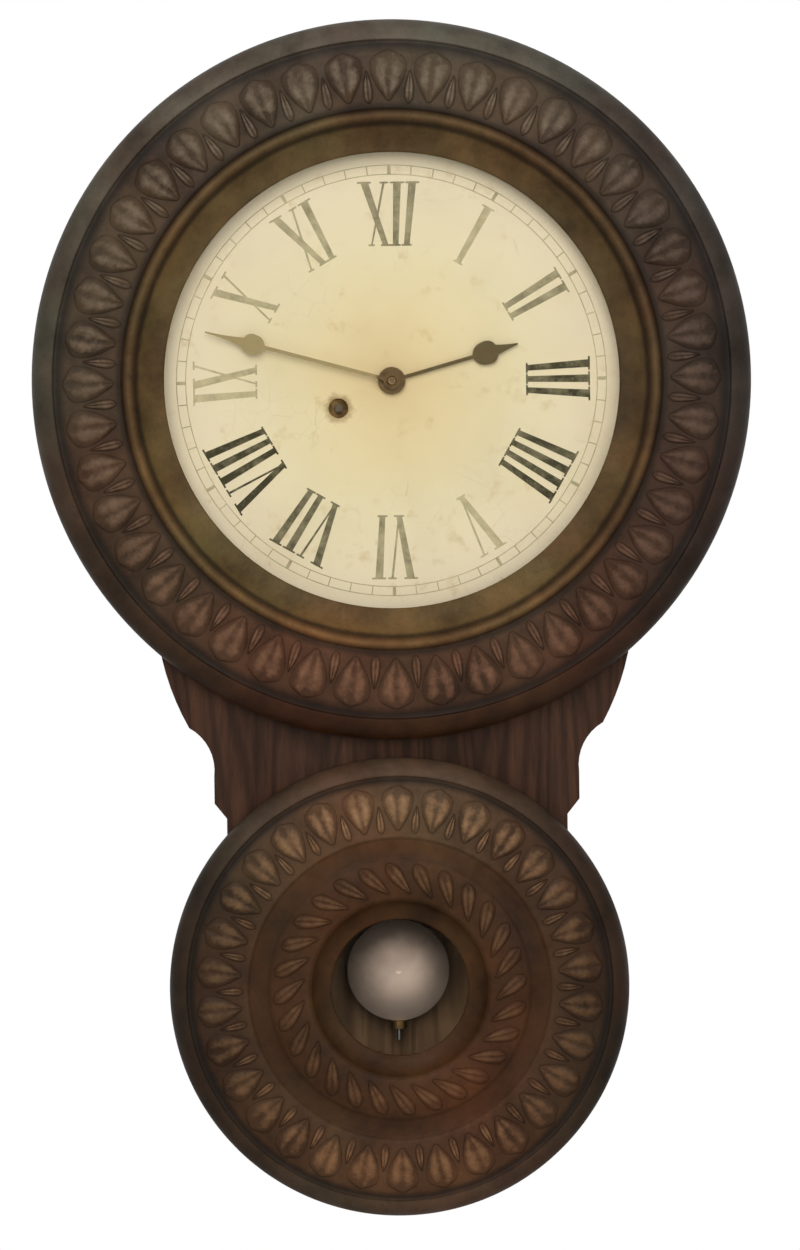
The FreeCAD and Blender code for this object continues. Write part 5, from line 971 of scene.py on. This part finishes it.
def beside_hole(radius, height):
    """Places of the two hanger screws, whose crowns come level with the wall."""
    low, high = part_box("hanger_screws")
    return [Vector((x, -CROWN * height, 0)) for x in (low.x + radius, high.x - radius)]


def beside_hook(hook, z):
    """Place of a hook's screw: on the hook's outer side, with air under its head."""
    low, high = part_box(hook)
    return Vector((high.x + HOOK_SCREW_AIR, (low.y + high.y) / 2, z))


# Radius and height of a screw's head, and radius and length of its shank
DIAL_SCREW = dict(radius=2.4 * MM, height=1.0 * MM, shank=1.2 * MM, length=6.8 * MM)
MOVEMENT_SCREW = dict(radius=3.4 * MM, height=1.4 * MM, shank=1.7 * MM, length=14 * MM)
HANGER_SCREW = dict(radius=3.2 * MM, height=1.6 * MM, shank=1.6 * MM, length=7 * MM)
HOOK_SCREW = dict(radius=3.2 * MM, height=1.15 * MM, shank=1.6 * MM, length=8.4 * MM)
dial_spots = corner_spots("dial_screws", DIAL_SCREW["radius"], DIAL_FRONT)
movement_spots = corner_spots("movement_screws", MOVEMENT_SCREW["radius"], BACK_PLATE_FRONT)
hanger_spots = beside_hole(HANGER_SCREW["radius"], HANGER_SCREW["height"])
hook_spots = [beside_hook("upper_hook", DIAL_Z), beside_hook("lower_hook", LOWER_Z)]

screws("dial_screw_heads", slotted_screw("dial_screw", **DIAL_SCREW),
       dial_spots, TOWARDS_ROOM, "case", dark_brass, "dial_screws")
screws("movement_screw_heads", slotted_screw("movement_screw", **MOVEMENT_SCREW),
       movement_spots, TOWARDS_ROOM, "case", dull_steel, "movement_screws")
screws("hanger_screw_heads", slotted_screw("hanger_screw", **HANGER_SCREW),
       hanger_spots, TOWARDS_WALL, "case", dark_steel, "hanger_screws")
screws("hook_screw_heads", slotted_screw("hook_screw", **HOOK_SCREW),
       hook_spots, TOWARDS_RIGHT, "case", dull_steel, "hook_screws")


# Relief on the doors

LEAF_COLUMNS = 8
LEAF_ROWS = 10
LEAF_RISE = {1.0: 0.0, 0.75: 0.6, 0.5: 0.92, 0.25: 1.0, 0.0: 0.42}
LEAF_SHOULDER = 0.27
LEAF_POINT_CURVE = 0.8
LEAF_NARROWEST = 0.12
LEAF_SWELL_FROM = 0.05
LEAF_SWELL_SHARE = 0.9
LEAF_SWELL_CURVE = 0.55
LEAF_FOOT = 0.8 * MM
LEAF_DIVISIONS = 1
LEAF_SMOOTH_ANGLE = 50


def leaf_shape(along):
    """Width and height of a leaf, as shares, at a share of its length from its round end."""
    if along < LEAF_SHOULDER:
        breadth = math.sqrt(1 - (1 - along / LEAF_SHOULDER) ** 2)
    else:
        breadth = math.cos((along - LEAF_SHOULDER) / (1 - LEAF_SHOULDER) * math.pi / 2) ** LEAF_POINT_CURVE
    swell = math.sin(math.pi * (LEAF_SWELL_FROM + LEAF_SWELL_SHARE * along)) ** LEAF_SWELL_CURVE
    return max(LEAF_NARROWEST, breadth), swell


def moulded_leaf(name, width, length, height):
    """Tongue-shaped leaf with a sunk vein, flat on the origin, with its tip towards -Y."""
    start_clean()
    bpy.ops.mesh.primitive_grid_add(x_subdivisions=LEAF_COLUMNS, y_subdivisions=LEAF_ROWS, size=1)
    leaf = bpy.context.object
    leaf.name = name
    leaf.scale = (width, length, 1)
    settle(leaf)
    edit(leaf)
    for share, rise in LEAF_RISE.items():
        pick(leaf, lambda spot: abs(abs(spot.x) - share * width / 2) < NEAR)
        bpy.ops.transform.translate(value=(0, 0, rise * height))
    for row in range(LEAF_ROWS + 1):
        along = row / LEAF_ROWS
        y = (0.5 - along) * length
        breadth, swell = leaf_shape(along)
        pick(leaf, lambda spot: abs(spot.y - y) < NEAR)
        bpy.ops.transform.resize(value=(breadth, 1, swell), center_override=(0, y, 0))
    pick_all()
    extrude((0, 0, -LEAF_FOOT))
    leave()
    close_mesh(leaf)
    apply_modifier(leaf, "SUBSURF", levels=LEAF_DIVISIONS, render_levels=LEAF_DIVISIONS)
    heights = [point.co.z / height for point in leaf.data.vertices]
    keep_on_points(leaf, "crest", [min(1.0, max(0.0, share)) for share in heights])
    return leaf


def seat(z, radius, depth, angle, lean=0.0, slant=0.0):
    """Place on a ring: local X runs clockwise, Y outwards, Z to the room; lean tips Y towards the room."""
    outward = Vector((math.sin(angle), 0, math.cos(angle)))
    across = Vector((math.cos(angle), 0, -math.sin(angle)))
    along = outward * math.cos(lean) + TOWARDS_ROOM * math.sin(lean)
    turn = Matrix((across, along, across.cross(along))).transposed().to_4x4()
    spot = outward * radius + TOWARDS_ROOM * depth + Vector((0, 0, z))
    return Matrix.Translation(spot) @ turn @ Matrix.Rotation(slant, 4, "Z")


def band_seat(band, share):
    """Radius, depth and lean at a share of the way out across a band, which bulges in its middle."""
    (inner, inner_depth), (outer, outer_depth), bulge = band
    radius = inner + (outer - inner) * share
    depth = inner_depth + (outer_depth - inner_depth) * share + bulge * 4 * share * (1 - share)
    lean = math.atan2(outer_depth - inner_depth + bulge * 4 * (1 - 2 * share), outer - inner)
    return radius * MM, depth * MM, lean


def leaf_ring(name, door, band, count, leaf, start=0.0, slant=0.0):
    """One ring of leaves, stood evenly round a band of a door and joined."""
    z, body, finish = door
    share, size = leaf
    radius, depth, lean = band_seat(band, share)
    pattern = moulded_leaf(name + "_pattern", *[value * MM for value in size])
    angles = [FULL_TURN * (number + start) / count for number in range(count)]
    ring = joined([copy_of(pattern, seat(z, radius, depth, angle, lean, slant)) for angle in angles], name)
    settle(ring)
    smooth(ring, LEAF_SMOOTH_ANGLE)
    discard(pattern)
    carried(ring, body, "composition", finish)


# A band is the radius and depth of its inner edge, those of its outer edge, and its bulge, in millimetres.
# A leaf is its place across the band, from 0 to 1, and its width, length and height in millimetres.
UPPER_DOOR = (DIAL_Z, "upper_door", upper_paint)
LOWER_DOOR = (LOWER_Z, "lower_door", lower_paint)
UPPER_BAND = ((176.5, 102.5), (217, 97.5), 0.94)
LOWER_BAND = ((100, 95), (136, 93), 1.08)
LOWER_INNER_BAND = ((60, 95), (85, 94), 1.3)
UPPER_LEAF_COUNT = 44
LOWER_LEAF_COUNT = 30
LAUREL_COUNT = 28
UPPER_LEAF = (0.52, (25.5, 33, 2.7))
UPPER_DART = (0.34, (7.0, 22, 1.7))
LOWER_LEAF = (0.53, (22.0, 29, 2.2))
LOWER_DART = (0.32, (6.0, 18, 1.5))
LAUREL_LEAF = (0.5, (10.5, 25, 1.5))
LAUREL_SLANT = math.radians(38)
BETWEEN = 0.5
TIP_OUT = math.pi

leaf_ring("upper_leaves", UPPER_DOOR, UPPER_BAND, UPPER_LEAF_COUNT, UPPER_LEAF)
leaf_ring("upper_darts", UPPER_DOOR, UPPER_BAND, UPPER_LEAF_COUNT, UPPER_DART, BETWEEN, TIP_OUT)
leaf_ring("lower_leaves", LOWER_DOOR, LOWER_BAND, LOWER_LEAF_COUNT, LOWER_LEAF)
leaf_ring("lower_darts", LOWER_DOOR, LOWER_BAND, LOWER_LEAF_COUNT, LOWER_DART, BETWEEN, TIP_OUT)
leaf_ring("lower_laurel", LOWER_DOOR, LOWER_INNER_BAND, LAUREL_COUNT, LAUREL_LEAF, slant=LAUREL_SLANT)


# Numerals

HOURS = 12
NUMERAL_INNER = 88 * MM
NUMERAL_OUTER = 130 * MM
NUMERAL_HEIGHT = NUMERAL_OUTER - NUMERAL_INNER
NUMERAL_MIDDLE = (NUMERAL_INNER + NUMERAL_OUTER) / 2
NUMERAL_TAPER = 0.16
THICK_STROKE = 4.4 * MM
THIN_STROKE = 1.3 * MM
SERIF_REACH = 1.7 * MM
SERIF_HEIGHT = 1.2 * MM
SERIF_LAYER = 0.5
INK_THICKNESS = 0.05 * MM
# Strokes lie a hair above each other where they cross
STROKE_STEP = 0.004 * MM
LETTER_LAYERS = 2
LETTER_ADVANCE = {"I": 8.6 * MM, "V": 17.0 * MM, "X": 17.6 * MM}
LEG_INSET = 3.2 * MM
# Each numeral in turn from twelve, and how much of its ink is left
NUMERALS = {
    "XII": 0.66, "I": 0.36, "II": 0.6, "III": 0.92, "IIII": 0.95, "V": 0.34,
    "VI": 0.54, "VII": 0.84, "VIII": 0.97, "IX": 0.36, "X": 0.44, "XI": 0.52,
}


def flat_bar(width, height, place):
    """Flat oblong with its middle at a place."""
    start_clean()
    bpy.ops.mesh.primitive_plane_add(size=1, location=place)
    bar = bpy.context.object
    bar.scale = (width, height, 1)
    settle(bar)
    return bar


def stroke(across, foot, head, width, layer):
    """Bar of a numeral from its foot to its head, with a serif at each end."""
    bar = flat_bar(width, NUMERAL_HEIGHT, (across, 0, layer * STROKE_STEP))
    ends = ((1, head), (-1, foot))
    edit(bar)
    for end, shift in ends:
        pick(bar, lambda spot: spot.y * end > 0)
        bpy.ops.transform.translate(value=(shift, 0, 0))
    leave()
    pieces = [bar]
    for end, shift in ends:
        y = end * (NUMERAL_HEIGHT - SERIF_HEIGHT) / 2
        place = (across + shift, y, (layer + SERIF_LAYER) * STROKE_STEP)
        pieces.append(flat_bar(width + 2 * SERIF_REACH, SERIF_HEIGHT, place))
    return pieces


def letter(kind, across, layer):
    """Strokes of one letter: I is a thick bar, V and X have a thick and a thin leg."""
    if kind == "I":
        return stroke(across, 0, 0, THICK_STROKE, layer)
    reach = LETTER_ADVANCE[kind] / 2 - LEG_INSET
    foot = reach if kind == "X" else 0
    thick = stroke(across, foot, -reach, THICK_STROKE, layer)
    thin = stroke(across, -foot, reach, THIN_STROKE, layer + 1)
    return thick + thin


def keep_ink(piece, left):
    keep_on_points(piece, "ink", [left] * len(piece.data.vertices))


def thickened(piece):
    """Give flat printing its thickness towards +Z."""
    edit(piece)
    pick_all()
    extrude((0, 0, INK_THICKNESS))
    pick_all()
    bpy.ops.mesh.normals_make_consistent(inside=False)
    leave()


def numeral(hour, letters, left):
    """Roman numeral stood on the dial with its head outwards and its foot drawn in."""
    width = sum(LETTER_ADVANCE[kind] for kind in letters)
    across = -width / 2
    strokes = []
    for number, kind in enumerate(letters):
        strokes += letter(kind, across + LETTER_ADVANCE[kind] / 2, LETTER_LAYERS * number)
        across += LETTER_ADVANCE[kind]
    made = joined(strokes, "numeral_%d" % hour)
    settle(made)
    edit(made)
    for end in (1, -1):
        pick(made, lambda spot: spot.y * end > NUMERAL_HEIGHT / 4)
        bpy.ops.transform.resize(value=(1 + end * NUMERAL_TAPER, 1, 1), center_override=(0, 0, 0))
    leave()
    thickened(made)
    keep_ink(made, left)
    made.matrix_world = seat(DIAL_Z, NUMERAL_MIDDLE, DIAL_FRONT, FULL_TURN * hour / HOURS)
    settle(made)
    return made


# Minute track

MINUTES = 60
HOUR_MARK_EVERY = 5
TRACK_INNER = 134.5 * MM
TRACK_OUTER = 140.5 * MM
TRACK_MIDDLE = (TRACK_INNER + TRACK_OUTER) / 2
TRACK_LINE = 0.6 * MM
TRACK_SIDES = 180
TRACK_INK = 0.42
MINUTE_TICK = 0.7 * MM
HOUR_TICK = 2.2 * MM


def track_line(radius):
    """Thin printed circle."""
    start_clean()
    bpy.ops.mesh.primitive_circle_add(vertices=TRACK_SIDES, radius=radius)
    circle = bpy.context.object
    edit(circle, "EDGE")
    pick_all()
    extrude((0, 0, 0))
    wider = (radius + TRACK_LINE) / radius
    bpy.ops.transform.resize(value=(wider, wider, 1), center_override=(0, 0, 0))
    leave()
    thickened(circle)
    circle.matrix_world = seat(DIAL_Z, 0, DIAL_FRONT, 0)
    settle(circle)
    return circle


def track_tick(minute):
    """Mark of one minute, broader at each hour."""
    width = MINUTE_TICK if minute % HOUR_MARK_EVERY else HOUR_TICK
    tick = flat_bar(width, TRACK_OUTER - TRACK_INNER, (0, 0, STROKE_STEP))
    thickened(tick)
    tick.matrix_world = seat(DIAL_Z, TRACK_MIDDLE, DIAL_FRONT, FULL_TURN * minute / MINUTES)
    settle(tick)
    return tick


track_lines = [track_line(TRACK_INNER), track_line(TRACK_OUTER)]
track = joined(track_lines + [track_tick(minute) for minute in range(MINUTES)], "minute_track")
keep_ink(track, TRACK_INK)
carried(track, "case", "dial_paint", numeral_ink)
for hour, (letters, left) in enumerate(NUMERALS.items()):
    carried(numeral(hour, letters, left), "case", "dial_paint", numeral_ink)


# Floor, light and camera

FLOOR_SIZE = 5.0
FLOOR_Z = -1.75
FLOOR_PALER = 0.35
FLOOR_ROUGHNESS = 0.9
FLOOR_SHINE = 0.1
FLOOR_NOISE = (3.0, 2.0)
FLOOR_TONES = [(0.3, srgb(244, 243, 241)), (0.7, srgb(250, 249, 247))]
WORLD_FILL = 0.42
WORLD_SEEN = 1.0
LIGHT_AIM = Vector((0, -0.08, -0.35))
KEY_PLACE = Vector((-0.5, -2.5, 0.95))
KEY_SIZE = 2.4
KEY_POWER = 44.5
FILL_PLACE = Vector((0.9, -2.9, 0.0))
FILL_SIZE = 1.8
FILL_POWER = 17.0
CAMERA_DISTANCE = 3.0
CAMERA_AZIMUTH = math.radians(-0.99)
CAMERA_ELEVATION = math.radians(2.41)
CAMERA_ROLL = math.radians(-0.755)
CAMERA_TARGET = Vector((0.0033, -0.08, -0.345))
CAMERA_SENSOR = 36.0
CAMERA_LENS = 131.8


def make_floor():
    """Pale paper far below the clock, paler to the eye than the light alone makes it."""
    start_clean()
    bpy.ops.mesh.primitive_plane_add(size=FLOOR_SIZE, location=(0, 0, FLOOR_Z))
    floor = bpy.context.object
    floor.name = "studio_floor"
    settle(floor)
    inputs = {"Roughness": FLOOR_ROUGHNESS, "Specular IOR Level": FLOOR_SHINE, "Emission Color": WHITE}
    material, tree, surface = new_finish("studio_floor_paper", inputs)
    mottle = noise(tree, placed(tree), *FLOOR_NOISE)
    seen = node(tree, "LightPath").outputs["Is Camera Ray"]
    dress(tree, surface, colour=ramp(tree, mottle, FLOOR_TONES),
          glow=calc(tree, "MULTIPLY", seen, FLOOR_PALER))
    floor.data.materials.append(material)


def make_world():
    """White to the eye and in reflections, and a softer fill on matt surfaces."""
    world = bpy.data.worlds.new("studio_white")
    bpy.context.scene.world = world
    world.use_nodes = True
    tree = world.node_tree
    tree.nodes.clear()
    rays = node(tree, "LightPath")
    seen = calc(tree, "MAXIMUM", rays.outputs["Is Camera Ray"], rays.outputs["Is Transmission Ray"])
    seen = calc(tree, "MAXIMUM", seen, rays.outputs["Is Glossy Ray"])
    strength = spread(tree, seen, 0.0, 1.0, WORLD_FILL, WORLD_SEEN)
    light = node(tree, "Background", {"Color": WHITE, "Strength": strength})
    node(tree, "OutputWorld", {"Surface": light.outputs["Background"]})


def make_light(name, place, size, power):
    lamp = bpy.data.lights.new(name, "AREA")
    lamp.shape = "DISK"
    lamp.size = size
    lamp.energy = power
    holder = bpy.data.objects.new(name, lamp)
    bpy.context.scene.collection.objects.link(holder)
    holder.location = place
    holder.rotation_mode = "QUATERNION"
    holder.rotation_quaternion = (LIGHT_AIM - place).to_track_quat("-Z", "Y")


def make_camera():
    """Camera where the photograph was taken from, turned to its tilt."""
    lens = bpy.data.cameras.new("photo_view")
    lens.sensor_width = CAMERA_SENSOR
    lens.lens = CAMERA_LENS
    camera = bpy.data.objects.new("photo_view", lens)
    bpy.context.scene.collection.objects.link(camera)
    level = math.cos(CAMERA_ELEVATION)
    back = Vector((math.sin(CAMERA_AZIMUTH) * level, -math.cos(CAMERA_AZIMUTH) * level,
                   math.sin(CAMERA_ELEVATION)))
    right = (-back).cross(Vector((0, 0, 1))).normalized()
    up = right.cross(-back)
    across = right * math.cos(CAMERA_ROLL) + up * math.sin(CAMERA_ROLL)
    upright = up * math.cos(CAMERA_ROLL) - right * math.sin(CAMERA_ROLL)
    turn = Matrix((across, upright, back)).transposed().to_4x4()
    camera.matrix_world = Matrix.Translation(CAMERA_TARGET + back * CAMERA_DISTANCE) @ turn
    bpy.context.scene.camera = camera


make_floor()
make_world()
make_light("key_light", KEY_PLACE, KEY_SIZE, KEY_POWER)
make_light("fill_light", FILL_PLACE, FILL_SIZE, FILL_POWER)
make_camera()
bpy.context.scene.view_settings.view_transform = "Standard"
